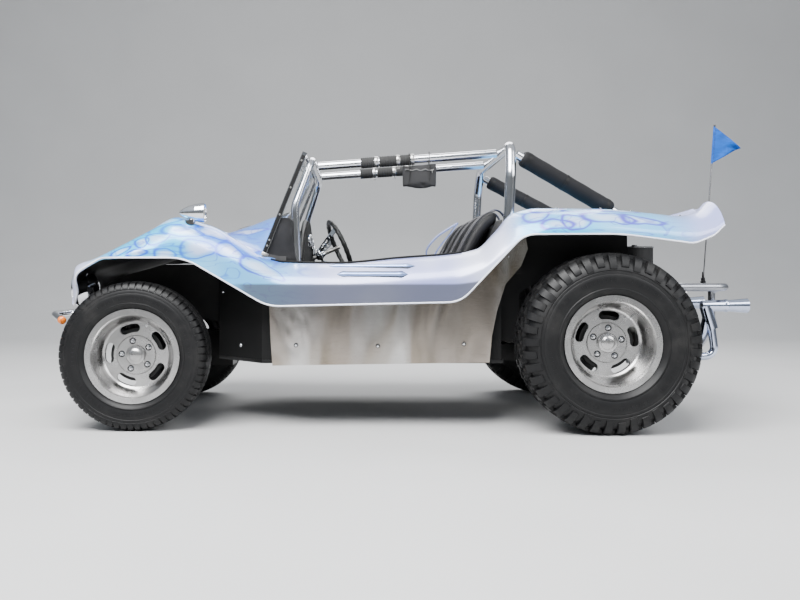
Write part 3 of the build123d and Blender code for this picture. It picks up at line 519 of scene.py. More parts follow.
class BodyShape:
    """The moulded body's surface, worked out from its sections."""

    def __init__(self):
        self.tracks = [track(SECTIONS, column) for column in range(1, 8)]
        self.nose, self.deck = track(NOSE_CREST), track(DECK_CREST)

    def outer(self, station, lip_z):
        """Crest to lip, then crest to valley, as (y, z)."""
        lip_y, *rest = (value(station) for value in self.tracks)
        shoulder, crest, valley = (Vector(rest[i:i + 2]) for i in (0, 2, 4))
        arc = three_point_arc(shoulder, crest, valley, ARC_STEPS)
        top = min(range(ARC_STEPS + 1), key=lambda i: (arc[i] - crest).length)
        foot = Vector((lip_y, FLANK_FOOT))
        down = [arc[i] for i in range(top, -1, -1)]
        down += [shoulder.lerp(foot, i / FLANK_STEPS) for i in range(1, FLANK_STEPS + 1)]
        cut = next((i for i, p in enumerate(down) if p.y < lip_z), len(down) - 1)
        a, b = down[max(cut - 1, 0)], down[cut]
        edge = a.lerp(b, min(1.0, max(0.0, (a.y - lip_z) / max(1e-6, a.y - b.y))))
        band = evened(down[:max(cut, 1)] + [edge], count=BAND_COLUMNS)
        return band, evened(arc[top:], count=BROW_COLUMNS)

    def side_point(self, station, z):
        """Place and outward direction on the outside of the body, at a height."""
        band, brow = self.outer(station, FLANK_FOOT)
        line = band[::-1] + brow[1:]
        i = next(k for k in range(len(line) - 1) if line[k + 1].y >= z)
        a, b = line[i], line[i + 1]
        run = (b - a).normalized()
        return a.lerp(b, (z - a.y) / (b.y - a.y)), Vector((-run.y, run.x)) * (1 if -run.y > 0 else -1)

    def crown(self, station, valley):
        """Centre line to valley."""
        rise = (self.nose if station < 1000 else self.deck)(station)
        shares = [i / CROWN_COLUMNS for i in range(CROWN_COLUMNS)]
        return [Vector((valley.x * t, valley.y + (rise - valley.y) * (1 - t ** 2))) for t in shares]


def body_rows(spacing=17):
    """(station of the top, station and height of the lip) for each row."""
    line = softened(LIP_LINE)
    lengths = [0.0]
    for a, b in zip(line, line[1:]):
        lengths.append(lengths[-1] + (b - a).length)
    keys = []
    for corner in LIP_LINE:
        nearest = min(range(len(line)), key=lambda i: (line[i] - Vector(corner[:2])).length)
        keys.append(lengths[nearest])
    top = track(list(zip(keys, LIP_TOPS)))
    rows = []
    for k, place in enumerate(evened(line, spacing)):
        length = lengths[-1] * k / (round(lengths[-1] / spacing))
        rows.append((top(length), place.x, place.y))
    return rows


def body_mesh():
    """Half the body from its nose to its tail, mirrored."""
    form = BodyShape()
    rows = []
    for top, lip_s, lip_z in body_rows():
        band, brow = form.outer(top, lip_z)
        crown = form.crown(top, brow[-1])
        half = []
        for y, z in crown + brow[::-1]:
            half.append((top, y, z))
        for i, (y, z) in enumerate(band[1:], 1):
            share = (i / BAND_COLUMNS) ** 1.5
            half.append((top + (lip_s - top) * share, y, z))
        rows.append(half)
    first = rows[0]
    front = []
    for turn in (1.0, 0.8, 0.6, 0.4, 0.2):
        back, rise = NOSE_TURN * math.sin(turn * math.pi / 2), math.cos(turn * math.pi / 2)
        lift = 0.2 if turn == 1.0 else 0.0
        front.append([(s - back, y, NOSE_EDGE + (z - NOSE_EDGE) * rise + lift) for s, y, z in first])
    rows = front + rows
    shape = bmesh.new()
    grid = {}

    def vertex(r, c, side):
        key = (r, c, 1 if c == 0 else side)
        if key not in grid:
            s, y, z = rows[r][c]
            grid[key] = shape.verts.new(spot(s, y * side, z))
        return grid[key]

    columns = len(rows[0])
    valley = CROWN_COLUMNS
    for r in range(len(rows) - 1):
        middle_s = (rows[r][0][0] + rows[r + 1][0][0]) / 2
        start = valley if COWL_END < middle_s < DECK_START else 0
        for c in range(start, columns - 1):
            for side in (-1, 1):
                face = [vertex(r, c, side), vertex(r, c + 1, side), vertex(r + 1, c + 1, side),
                        vertex(r + 1, c, side)]
                if len(set(face)) == 4:
                    shape.faces.new(face if side < 0 else face[::-1])
    soft = []
    for (r, c, side), point in grid.items():
        open_cabin = COWL_END - 30 < rows[r][c][0] < DECK_START + 40
        if valley - 2 <= c <= valley + 2 and r > 6 and not open_cabin:
            soft.append(point)
    for _ in range(4):
        bmesh.ops.smooth_vert(shape, verts=soft, factor=0.5, use_axis_x=False, use_axis_y=False,
                              use_axis_z=True)
    return shape


# Wheels

# Half of each tyre from centre line to bead: radius, place across, depth and turn of its cuts
ROAD_HALF = (
    (330.0, 1, 0, 0), (330.0, 13, 0, 0), (329.6, 14, 0, 0), (323.0, 15.5, 0, 0), (323.0, 21.5, 0, 0),
    (329.4, 23, 5.5, 0.0), (329.2, 34, 5.5, 0.25), (328.8, 46, 5.5, 0.5), (322.0, 47.5, 0, 0),
    (322.0, 53.5, 0, 0), (328.2, 55, 7, 0.2), (327.0, 66, 7, 0.25), (324.0, 78, 7, 0.3),
    (318.5, 87, 7, 0.3), (311.0, 93.5, 6, 0.3), (303.5, 97.5, 5, 0.3), (298.0, 99.6, 3.5, 0.3),
    (294.0, 100.6, 0, 0), (291.5, 99.6, 0, 0), (288.0, 101.0, 0, 0), (279.0, 102.0, 0, 0),
    (277.6, 101.2, 0, 0), (276.0, 102.0, 0, 0), (264.0, 102.4, 0, 0), (250.0, 101.6, 0, 0),
    (240.0, 99.6, 0, 0), (236.0, 98.8, 0, 0), (234.5, 100.4, 0, 0), (230.5, 100.2, 0, 0),
    (228.5, 97.4, 0, 0), (222.0, 92.5, 0, 0), (214.5, 86.0, 0, 0), (211.0, 79.0, 0, 0), (206.0, 75.4, 0, 0),
    (198.0, 73.6, 0, 0), (191.5, 71.2, 0, 0),
)
LUG_HALF = (
    (376.5, 1), (376.0, 36), (374.5, 64), (369.0, 88), (359.0, 105), (346.0, 117.5), (333.0, 125.5),
    (322.0, 130.0), (316.5, 131.4), (314.5, 129.8), (312.0, 129.9), (310.0, 131.8), (302.0, 133.2),
    (299.8, 132.2), (297.6, 133.4), (284.0, 134.0), (268.0, 134.0), (254.0, 133.0), (245.0, 130.8),
    (241.0, 129.6), (238.6, 131.6), (233.0, 131.4), (230.4, 128.8), (224.0, 123.6), (217.0, 116.8),
    (212.0, 110.4), (207.0, 105.6), (199.0, 103.4), (191.5, 100.8),
)
# Lug outlines: place across, radius, turn in pitches; first and last points lie on the carcass
SHOULDER_LUG = ((92, 366, 0.0), (94, 386.0, 0.0), (104, 380.5, 0.0), (115, 369.5, 0.02), (124, 354.5, 0.03),
                (130.5, 338.0, 0.03), (133.4, 322.5, 0.03), (130.6, 318.5, 0.03))
SHORT_LUG = SHOULDER_LUG[:5] + ((129.0, 344.0, 0.03), (130.8, 334.0, 0.03), (127.5, 330.0, 0.03))
INNER_LUG = ((54, 374, 0.30), (56, 391.4, 0.30), (72, 390.8, 0.36), (88, 387.0, 0.42), (90, 368, 0.42))
CENTRE_LUG = ((6, 374, 0.0), (8, 392.0, 0.0), (27, 392.0, 0.14), (46, 391.8, 0.20), (48, 374, 0.20))
# Wheels: end, middle, face of the disc from the wheel's middle, turn of the slots, outer edge of the drum
WHEELS = (("front", FRONT_AXLE, 0.0, 32, 584.8), ("rear", REAR_AXLE, 7.0, 13, 683.8))
# Moulded marks of each sidewall: radius, half height, place across, count
SIDEWALL_MARKS = {"front": (256.0, 6.0, 101.9, 84), "rear": (276.0, 7.0, 134.0, 96)}
SIDES = (("left", -1), ("right", 1))
NUTS, NUT_CIRCLE = 5, 65
# Foot and tip of the valve stem: radius, how far out from the disc
VALVE = ((158, 22), (140, 42))


def wheel_frame(centre, side):
    """Matrix of a wheel: Z outwards along the axle, X rearwards on the left-hand side."""
    out = Vector((0, side, 0))
    made = Matrix((Vector((1, 0, 0)), out.cross(Vector((1, 0, 0))), out)).transposed().to_4x4()
    made.translation = Vector((centre.x, centre.y * -side, centre.z))
    return made


def polar(place, radius, angle, across):
    """A point round the Z of a matrix, in mm."""
    return place @ (Vector((math.cos(angle) * radius, math.sin(angle) * radius, across)) * MM)


def road_tyre(shape, place, blocks):
    """Ribbed road tyre with cross cuts from the second rib out to the shoulder."""
    pitch = math.tau / blocks
    rows = [(r, -w, d, -t) for r, w, d, t in ROAD_HALF[::-1]] + list(ROAD_HALF)
    rings = []
    for radius, across, depth, turn in rows:
        ring = []
        for k in range(blocks):
            for share, cut in ((0.0, 1), (0.14, 1), (0.20, 0), (0.94, 0)):
                ring.append(polar(place, radius - depth * cut, (k + share + turn) * pitch, across))
        rings.append(ring)
    skin(shape, rings)


def lug(shape, place, outline, start, length, pitch, flip):
    """One tread lug: chamfered flanks rise from the carcass along its outline."""
    rings = []
    rises = ((0.0, 15.0), (0.025, 2.2), (0.055, 0.0))
    flanks = rises + tuple((length - share, drop) for share, drop in rises[::-1])
    for along_by, drop in flanks:
        ring = []
        for i, (across, radius, turn) in enumerate(outline):
            rim_point = i in (0, len(outline) - 1)
            lean = Vector((across - 70, radius - 320)).normalized() * (drop if not rim_point else 3.0)
            ring.append(polar(place, radius - lean.y, (start + along_by + turn) * pitch,
                              (across - lean.x) * flip))
        rings.append(ring)
    skin(shape, rings, closed=False)


def lugged_tyre(shape, place, lugs):
    """Deep-lugged tyre: hooked shoulder lugs in two lengths and staggered lugs along the middle."""
    pitch = math.tau / lugs
    profile = [(r, -w) for r, w in LUG_HALF[::-1]] + list(LUG_HALF)
    lathe(shape, profile, place, segments=160)
    for flip, phase in ((1, 0.0), (-1, 0.5)):
        for k in range(lugs):
            lug(shape, place, SHORT_LUG if k % 2 else SHOULDER_LUG, k + phase, 0.66, pitch, flip)
            lug(shape, place, INNER_LUG, k + phase, 0.60, pitch, flip)
            lug(shape, place, CENTRE_LUG, k + phase + 0.55, 0.62, pitch, flip)


def sidewall_marks(shape, place, radius, reach, across, count):
    """Short moulded ribs in a ring on each sidewall."""
    for flip in (-1, 1):
        for k in range(count):
            if k % 12 > 8:
                continue
            angle = math.tau * k / count
            section = ((-1.6, -1), (-0.8, 0.9), (0.8, 0.9), (1.6, -1))
            rings = [[polar(place, r, angle + turn / r, (across + rise) * flip) for turn, rise in section]
                     for r in (radius - reach, radius + reach)]
            skin(shape, rings)


def wheel_nut(shape, place, across=17.5):
    """Chrome acorn nut on a washer; Z of place points outwards."""
    r = across / 2
    hexagon = [(r / math.cos(math.pi / 6) * math.cos(a), r / math.cos(math.pi / 6) * math.sin(a))
               for a in (math.tau * i / 6 for i in range(6))]
    rings = []
    for scale, height in ((1.0, 1.0), (1.0, 11.0), (0.90, 13.0)):
        rings.append([place @ (Vector((x * scale, y * scale, height)) * MM) for x, y in hexagon])
    skin(shape, rings, capped=True)
    dome = [(r * 0.86, 12.5), (r * 0.84, 15.5), (r * 0.72, 19), (r * 0.45, 21.6), (0.2, 22.6)]
    lathe(shape, dome, place, 16)
    washer = [(r * 0.9, 1.6), (r * 1.16, 1.2), (r * 1.18, 0.2), (r * 1.18, -1.0)]
    lathe(shape, washer, place, 20)


# Finishes

def flame_marks(s, high):
    """Outlines and hearts of the airbrushed licks, at a station and a height in metres."""
    outline, inside = None, None
    for station, height, length, depth, tilt in FLAME_LICKS:
        lean = math.radians(tilt)
        across, up = s - station * MM, high - height * MM
        u = (across * math.cos(lean) + up * math.sin(lean)) / (length * MM)
        v = (up * math.cos(lean) - across * math.sin(lean)) / (depth * MM)
        v = v * (1.15 + u * 0.45)
        away = (u * u + v * v) ** 0.5
        ring = 1.0 - (away - 1.0).size().rise(0.0, 7.0 / depth)
        core = 1.0 - away.rise(0.30, 1.0)
        outline = ring if outline is None else outline.most(ring)
        inside = core if inside is None else inside.most(core)
    return outline, inside


def pearl_paint(look):
    """White pearl lacquer with airbrushed flame licks running back from both wings, and painted shade on
    its lower side band and on part of its front wings.
    """
    f = Finish("pearl_paint")
    x, y, z = f.axes()
    cloud = f.noise(2.6, 2.0)
    drift = f.noise(5.5, 2.0, vector=f.stretched((1.0, 0.25, 1.0)), distortion=0.4)
    wobble = f.noise(9.0, 1.0, vector=f.stretched((1.0, 0.4, 1.0)))
    s = x - AXLE_X + (drift - 0.5) * 0.05
    high = z + (0.70 - y.size()).most(0.0) * 0.5 + (wobble - 0.5) * 0.045
    outline, inside = flame_marks(s, high)
    front, rear = s.band(-0.24, -0.08, 0.55, 0.86), s.band(1.62, 1.74, 2.28, 2.52)
    zone = front.most(rear)
    root_front = s.band(-0.26, -0.06, 0.10, 0.44)
    root_rear = s.band(1.66, 1.75, 1.86, 2.16) * (1.0 - high.rise(0.885, 0.935))
    lines = f.noise(6.0, 1.0, vector=f.stretched((0.75, 0.4, 2.4)), distortion=1.6)
    streak = (1.0 - (lines - 0.5).size().rise(0.0, 0.035)) * zone
    base = f.mix(cloud.rise(0.3, 0.7), look.pearl, look.pearl_shadow)
    base = f.mix(s.rise(2.0, 2.5) * 0.7, base, look.pearl_shadow)
    tint = f.mix(zone * 0.66, base, look.cyan)
    tint = f.mix(root_front.most(root_rear) * (drift.rise(0.18, 0.50) * 0.5 + 0.48), tint, look.cyan)
    # Darker blue patch on the front wing's upper face, where it turns down to the valley: partly airbrush,
    # partly painted shade.
    airbrush_and_shade = front * s.band(0.20, 0.34, 0.64, 0.72) * high.rise(0.755, 0.80)
    tint = f.mix(airbrush_and_shade * 0.60, tint, look.blue)
    tint = f.mix(inside * zone * 0.58, tint, look.pearl)
    line_colour = f.mix(s.rise(0.35, 0.70).most(s.rise(1.95, 2.2)), look.blue, look.violet)
    tint = f.mix(streak * 0.55, tint, line_colour)
    tint = f.mix(outline * zone * (cloud.rise(0.25, 0.5) * 0.3 + 0.68), tint, line_colour)
    # Painted shade and painted reflection: below the side crease, from the front wing back to the rear
    # wing, the paint is darkened to a dark slate for the down-facing band that lies in shade and mirrors
    # the dark ground.
    crease = (s - 1.40).most(0.0) ** 2.0 * 1.1 + 0.648
    below = (1.0 - (z - crease).rise(-0.006, 0.006)) * s.band(0.40, 0.52, 1.62, 1.70)
    tint = f.mix(below * 0.9, tint, (0.065, 0.070, 0.090))
    behind_screen = (s - (z - 0.774) * 0.4047).rise(0.556, 0.562) * z.rise(0.742, 0.748)
    behind_screen = behind_screen * (1.0 - s.rise(1.0, 1.1)) * (1.0 - y.size().rise(0.566, 0.569))
    tint = f.mix(behind_screen, tint, (0.008, 0.008, 0.009))
    flake = f.noise(900.0, 1.0)
    f.set(Base_Color=tint, Metallic=0.16 - behind_screen * 0.16,
          Roughness=flake * 0.10 + 0.26 + behind_screen * 0.3,
          Coat_Weight=0.6 - behind_screen * 0.6, Coat_Roughness=0.05,
          Normal=f.bump(f.noise(26.0, 2.0) + flake * 0.02, 0.06, 0.002))
    return f.material


FLAME_LICKS = (
    # station, height, half length, half depth, tilt
    (109, 865, 52, 36, 10), (296, 812, 78, 46, -8), (146, 786, 52, 27, 0), (435, 800, 64, 40, -24),
    (574, 722, 104, 42, -28), (221, 905, 92, 38, -6), (-57, 812, 44, 24, 24), (40, 850, 38, 32, 30),
    (777, 722, 48, 24, -18), (350, 905, 84, 34, -30), (20, 790, 40, 18, 4), (480, 900, 70, 34, -20),
    (110, 985, 90, 44, 0), (270, 1040, 110, 50, 0), (120, 1110, 90, 46, 0), (320, 1150, 100, 44, 0),
    (60, 1190, 70, 36, 0), (470, 1090, 90, 40, 0), (1769, 948, 62, 30, 8), (1853, 905, 72, 24, 4),
    (1938, 918, 58, 32, -6), (2085, 932, 116, 28, -6), (2233, 922, 92, 22, -8), (1830, 992, 80, 30, 0),
    (1990, 1010, 90, 32, 0), (2160, 1000, 90, 28, 0),
)


def plain_metal(name, colour, second, rough, brushed=(1.0, 1.0, 1.0), fine=60.0, bump=0.05, smears=0.12,
                metallic=1.0):
    """Metal with smears, faint grain and uneven polish."""
    f = Finish(name)
    smear = f.noise(5.0, 4.0, distortion=0.6)
    grain = f.noise(fine, 3.0, vector=f.stretched(brushed))
    f.set(Base_Color=f.mix(smear.rise(0.30, 0.72), colour, second), Metallic=metallic,
          Roughness=(smear - 0.5) * smears + (grain - 0.5) * 0.10 + rough,
          Normal=f.bump(grain, bump, 0.001))
    return f.material


def alloy_sheet():
    """Thin bare aluminium sheet: soft waves, rubbed grain and stains, with a painted highlight and painted
    reflections of warm brown ground in its colour.
    """
    f = Finish("alloy_sheet")
    wave = f.noise(2.2, 2.0, vector=f.stretched((2.2, 1.0, 0.8)), distortion=1.0)
    dull = f.noise(1.6, 1.0, vector=f.stretched((1.6, 1.0, 1.0)))
    stain_and_reflection = f.noise(6.0, 5.0, vector=f.stretched((1.4, 1.0, 0.5)))
    grain = f.noise(30.0, 3.0, vector=f.stretched((1.0, 1.0, 18.0)))
    scratch = f.noise(60.0, 2.0, vector=f.stretched((0.3, 1.0, 6.0)), distortion=0.5)
    # Painted highlight and painted reflection: the waves swing the colour from a bright painted highlight
    # to the warm brown of reflected ground, and the dull patches pull it towards more of that brown.
    tone = f.mix(wave.rise(0.34, 0.62), (0.60, 0.59, 0.575), (0.30, 0.25, 0.19))
    tone = f.mix(dull.rise(0.40, 0.62) * 0.6, tone, (0.40, 0.36, 0.33))
    # Dark brown patches: partly stains, partly painted reflection of the ground.
    tone = f.mix(stain_and_reflection.rise(0.52, 0.80) * 0.6, tone, (0.22, 0.19, 0.15))
    f.set(Base_Color=tone, Metallic=1.0,
          Roughness=stain_and_reflection * 0.14 + (grain - 0.5) * 0.10 + scratch.rise(0.6, 0.75) * 0.08 + 0.10,
          Normal=f.bump(wave * 3.0 + dull * 3.0 + stain_and_reflection * 0.2 + grain * 0.012 + scratch * 0.01, 0.4, 0.006))
    return f.material


def black_coat(name, tone=0.012, rough=0.42, mottle=40.0, bump=0.12, coat=0.0, dust=0.10):
    """Black paint or moulding, dulled by dust."""
    f = Finish(name)
    patch = f.noise(3.0, 5.0, roughness=0.65)
    fleck = f.noise(mottle, 3.0)
    f.set(Base_Color=f.mix(patch.rise(0.45, 0.85) * dust, (tone, tone, tone * 1.05), (0.10, 0.095, 0.085)),
          Roughness=(patch - 0.5) * 0.3 + rough, Specular_IOR_Level=0.2,
          Coat_Weight=coat, Coat_Roughness=0.1, Normal=f.bump(fleck, bump, 0.001))
    return f.material


def grained(name, colour, worn, grain=320.0, rough=0.42, depth=0.25, sheen=0.0):
    """Leathercloth: pebbled grain, polished where it is rubbed."""
    f = Finish(name)
    cell = f.value("ShaderNodeTexVoronoi", {"feature": "DISTANCE_TO_EDGE"},
                   {"Vector": f.place(), "Scale": grain})
    rub = f.noise(7.0, 4.0)
    f.set(Base_Color=f.mix(rub.rise(0.45, 0.75), colour, worn), Roughness=(rub - 0.5) * 0.28 + rough,
          Specular_IOR_Level=0.28, Normal=f.bump(cell.rise(0.0, 0.25) + rub * 1.5, depth, 0.0012),
          Sheen_Weight=sheen)
    return f.material


def woven(name, colour, second, threads=520.0, rough=0.8, depth=0.4, sheen=0.25):
    """Cloth whose two sets of threads show in its relief."""
    f = Finish(name)
    x, y, z = f.axes()
    warp, weft = ((x + y) * threads).sine(), ((z + y * 0.6) * threads).sine()
    fade = f.noise(6.0, 4.0)
    f.set(Base_Color=f.mix(fade.rise(0.35, 0.7), colour, second), Roughness=fade * 0.15 + rough - 0.08,
          Sheen_Weight=sheen, Sheen_Roughness=0.5, Normal=f.bump(warp * weft + fade * 0.6, depth, 0.0008))
    return f.material


def foam_tube():
    """Closed-cell foam sleeve with pores and scuffs."""
    f = Finish("foam_sleeve")
    pore = f.value("ShaderNodeTexVoronoi", {}, {"Vector": f.place(), "Scale": 260.0})
    scuff = f.noise(9.0, 5.0)
    f.set(Base_Color=f.mix(scuff.rise(0.5, 0.8), (0.006, 0.006, 0.007), (0.016, 0.016, 0.018)),
          Roughness=scuff * 0.2 + 0.6, Sheen_Weight=0.03, Specular_IOR_Level=0.2,
          Normal=f.bump(pore + scuff * 2.0, 0.25, 0.001))
    return f.material


def tyre_rubber():
    """Rubber: greyed where the road has rubbed it, with fine mould marks."""
    f = Finish("tyre_rubber")
    rub = f.noise(9.0, 6.0, roughness=0.6)
    fine = f.noise(180.0, 3.0)
    f.set(Base_Color=f.mix(rub.rise(0.48, 0.80), (0.003, 0.003, 0.0034), (0.015, 0.0145, 0.014)),
          Roughness=rub * 0.22 + 0.36, Specular_IOR_Level=0.28, Normal=f.bump(fine + rub, 0.18, 0.0012))
    return f.material


def rim_alloy(end, centre, drum_edge, turn):
    """Turned and polished wheel with dust in its corners, painted shade in its nut wells, and the dark iron
    drum inboard of drum_edge.
    """
    f = Finish(end + "_wheel_alloy")
    smear = f.noise(9.0, 4.0, roughness=0.55)
    mark = f.noise(240.0, 2.0)
    x, y, z = f.axes()
    radius = ((x - centre.x) ** 2.0 + (z - centre.z) ** 2.0) ** 0.5
    turning = f.noise(1.0, 2.0, vector=f.joined(radius * 900.0, 0.0, 0.0))
    dust = (radius - 0.158).size().rise(0.0, 0.007)
    drum = 1.0 - y.size().rise(drum_edge * MM - 0.0006, drum_edge * MM + 0.0006)
    alloy = f.mix(smear.rise(0.40, 0.72), (0.47, 0.465, 0.46), (0.36, 0.355, 0.35))
    alloy = f.mix((1.0 - dust) * smear.rise(0.35, 0.6) * 0.35, alloy, (0.12, 0.115, 0.11))
    upright = (z - centre.z) * (1.0 - y.rise(-0.01, 0.01) * 2.0)
    # Painted shade: a near-black ring round each nut darkens the well it sits in.
    nut_well_shade = None
    for k in range(NUTS):
        angle = math.radians(turn + 360 / NUTS * k)
        off_x = x - centre.x - math.cos(angle) * NUT_CIRCLE * MM
        off_z = upright - math.sin(angle) * NUT_CIRCLE * MM
        near = 1.0 - (off_x * off_x + off_z * off_z).rise(0.0142 ** 2, 0.0158 ** 2)
        nut_well_shade = near if nut_well_shade is None else nut_well_shade.most(near)
    alloy = f.mix(nut_well_shade * 0.96, alloy, (0.012, 0.011, 0.010))
    f.set(Base_Color=f.mix(drum, alloy, (0.006, 0.006, 0.006)), Metallic=1.0 - drum * 0.7,
          Roughness=smear * 0.16 + mark * 0.05 + turning * 0.08 + 0.13 + drum * 0.4,
          Normal=f.bump(turning * 0.4 + mark * 0.4 + smear * 2.0, 0.08, 0.001))
    return f.material


def filter_stack():
    """Air cleaner: black element between bright lids, cast carburettor and dull pipes below."""
    f = Finish("air_cleaner")
    x, y, z = f.axes()
    grime = f.noise(12.0, 4.0)
    lids = (1.0 - (z - 0.745).size().rise(0.0035, 0.0045)).most(z.rise(0.8295, 0.8305))
    element = z.rise(0.7485, 0.7495) * (1.0 - lids)
    pleats = ((x + y) * 900.0).sine()
    tone = f.mix(grime.rise(0.4, 0.7), (0.26, 0.255, 0.25), (0.10, 0.095, 0.09))
    tone = f.mix(element, tone, (0.010, 0.010, 0.011))
    tone = f.mix(lids, tone, (0.80, 0.81, 0.83))
    f.set(Base_Color=tone, Metallic=1.0 - element,
          Roughness=grime * 0.12 + 0.10 + element * 0.45 + (1.0 - lids) * (1.0 - element) * 0.3,
          Normal=f.bump(pleats * element + grime * 0.2, 0.25, 0.001))
    return f.material


def clear(name, tint, rough=0.02):
    """Glass or a clear lens, with faint smudges."""
    f = Finish(name)
    smudge = f.noise(9.0, 4.0)
    f.set(Base_Color=tint, Roughness=smudge * 0.08 + rough, IOR=1.5, Transmission_Weight=1.0)
    return f.material


def amber_lens():
    """Amber lamp plastic with ribs moulded inside."""
    f = Finish("amber_lens")
    x, y, z = f.axes()
    f.set(Base_Color=f.mix(f.noise(60.0, 2.0).rise(0.3, 0.7), (0.90, 0.22, 0.02), (0.54, 0.132, 0.012)),
          Roughness=f.noise(40.0, 2.0) * 0.1 + 0.12, Coat_Weight=0.6,
          Normal=f.bump((z * 900.0).sine(), 0.3, 0.001))
    return f.material


def flag_cloth(look):
    """Thin sheet of dyed nylon, creased along its threads, with painted shade on its folds."""
    f = Finish("flag_cloth")
    x, y, z = f.axes()
    crease = f.noise(18.0, 4.0, vector=f.stretched((1.0, 1.0, 2.5)), distortion=0.8)
    threads = (x * 2600.0).sine() * (z * 2600.0).sine()
    # Painted shade: the colour darkens by up to 40% with the folds' relief noise.
    f.set(Base_Color=f.mix(crease.rise(0.3, 0.7), look.flag, tuple(part * 0.6 for part in look.flag)),
          Roughness=crease * 0.2 + 0.55, Sheen_Weight=0.04, Specular_IOR_Level=0.2,
          Normal=f.bump(crease * 2.0 + threads * 0.06, 0.3, 0.002))
    return f.material


def floor_paper():
    """Matt grey paper of the studio floor."""
    f = Finish("studio_floor")
    tone = f.noise(1.2, 3.0)
    f.set(Base_Color=f.mix(tone, (0.46, 0.46, 0.46), (0.52, 0.52, 0.52)), Roughness=tone * 0.1 + 0.62)
    return f.material


# Settings

class BuggyPaintLook(bpy.types.PropertyGroup):
    pearl: FloatVectorProperty(name="Pearl", description="Main body colour", subtype="COLOR",
                               default=(0.66, 0.69, 0.87))
    pearl_shadow: FloatVectorProperty(name="Pearl shadow", description="Deeper tone of the pearl",
                                      subtype="COLOR", default=(0.30, 0.34, 0.68))
    cyan: FloatVectorProperty(name="Flame root", description="Colour where the flames start",
                              subtype="COLOR", default=(0.0, 0.46, 0.82))
    blue: FloatVectorProperty(name="Flame line", description="Colour of the front flame lines",
                              subtype="COLOR", default=(0.003, 0.065, 0.58))
    violet: FloatVectorProperty(name="Flame tip", description="Colour of the rear flame lines",
                                subtype="COLOR", default=(0.07, 0.06, 0.52))
    flag: FloatVectorProperty(name="Flag", description="Colour of the flag's cloth", subtype="COLOR",
                              default=(0.0, 0.085, 0.42))


class BuggyStudioLook(bpy.types.PropertyGroup):
    key: FloatProperty(name="Key light", description="Power of the large overhead light", default=1250.0,
                       min=0.0, unit="POWER")
    fill: FloatProperty(name="Fill light", description="Power of the side light", default=200.0, min=0.0,
                        unit="POWER")
    sky: FloatProperty(name="Surroundings", description="Brightness of the plain surroundings",
                       default=0.75, min=0.0)
    stand_back: FloatProperty(name="Camera distance", description="Distance from the middle of the car",
                              default=4.5, min=1.0, unit="LENGTH")
    eye: FloatProperty(name="Camera height", description="Height of the camera", default=0.67, min=0.1,
                       unit="LENGTH")


class BuggySizes(bpy.types.PropertyGroup):
    body_skin: FloatProperty(name="Body skin", description="Thickness of the moulded body", default=0.006,
                             min=0.002, unit="LENGTH")
    front_blocks: IntProperty(name="Front tread blocks", description="Blocks round each front tyre",
                              default=64, min=20)
    rear_lugs: IntProperty(name="Rear lugs", description="Shoulder lugs round each rear tyre", default=41,
                           min=16)
    cloth_frames: IntProperty(name="Cloth frames", description="Simulation frames for each soft piece",
                              default=20, min=5)


# Pieces

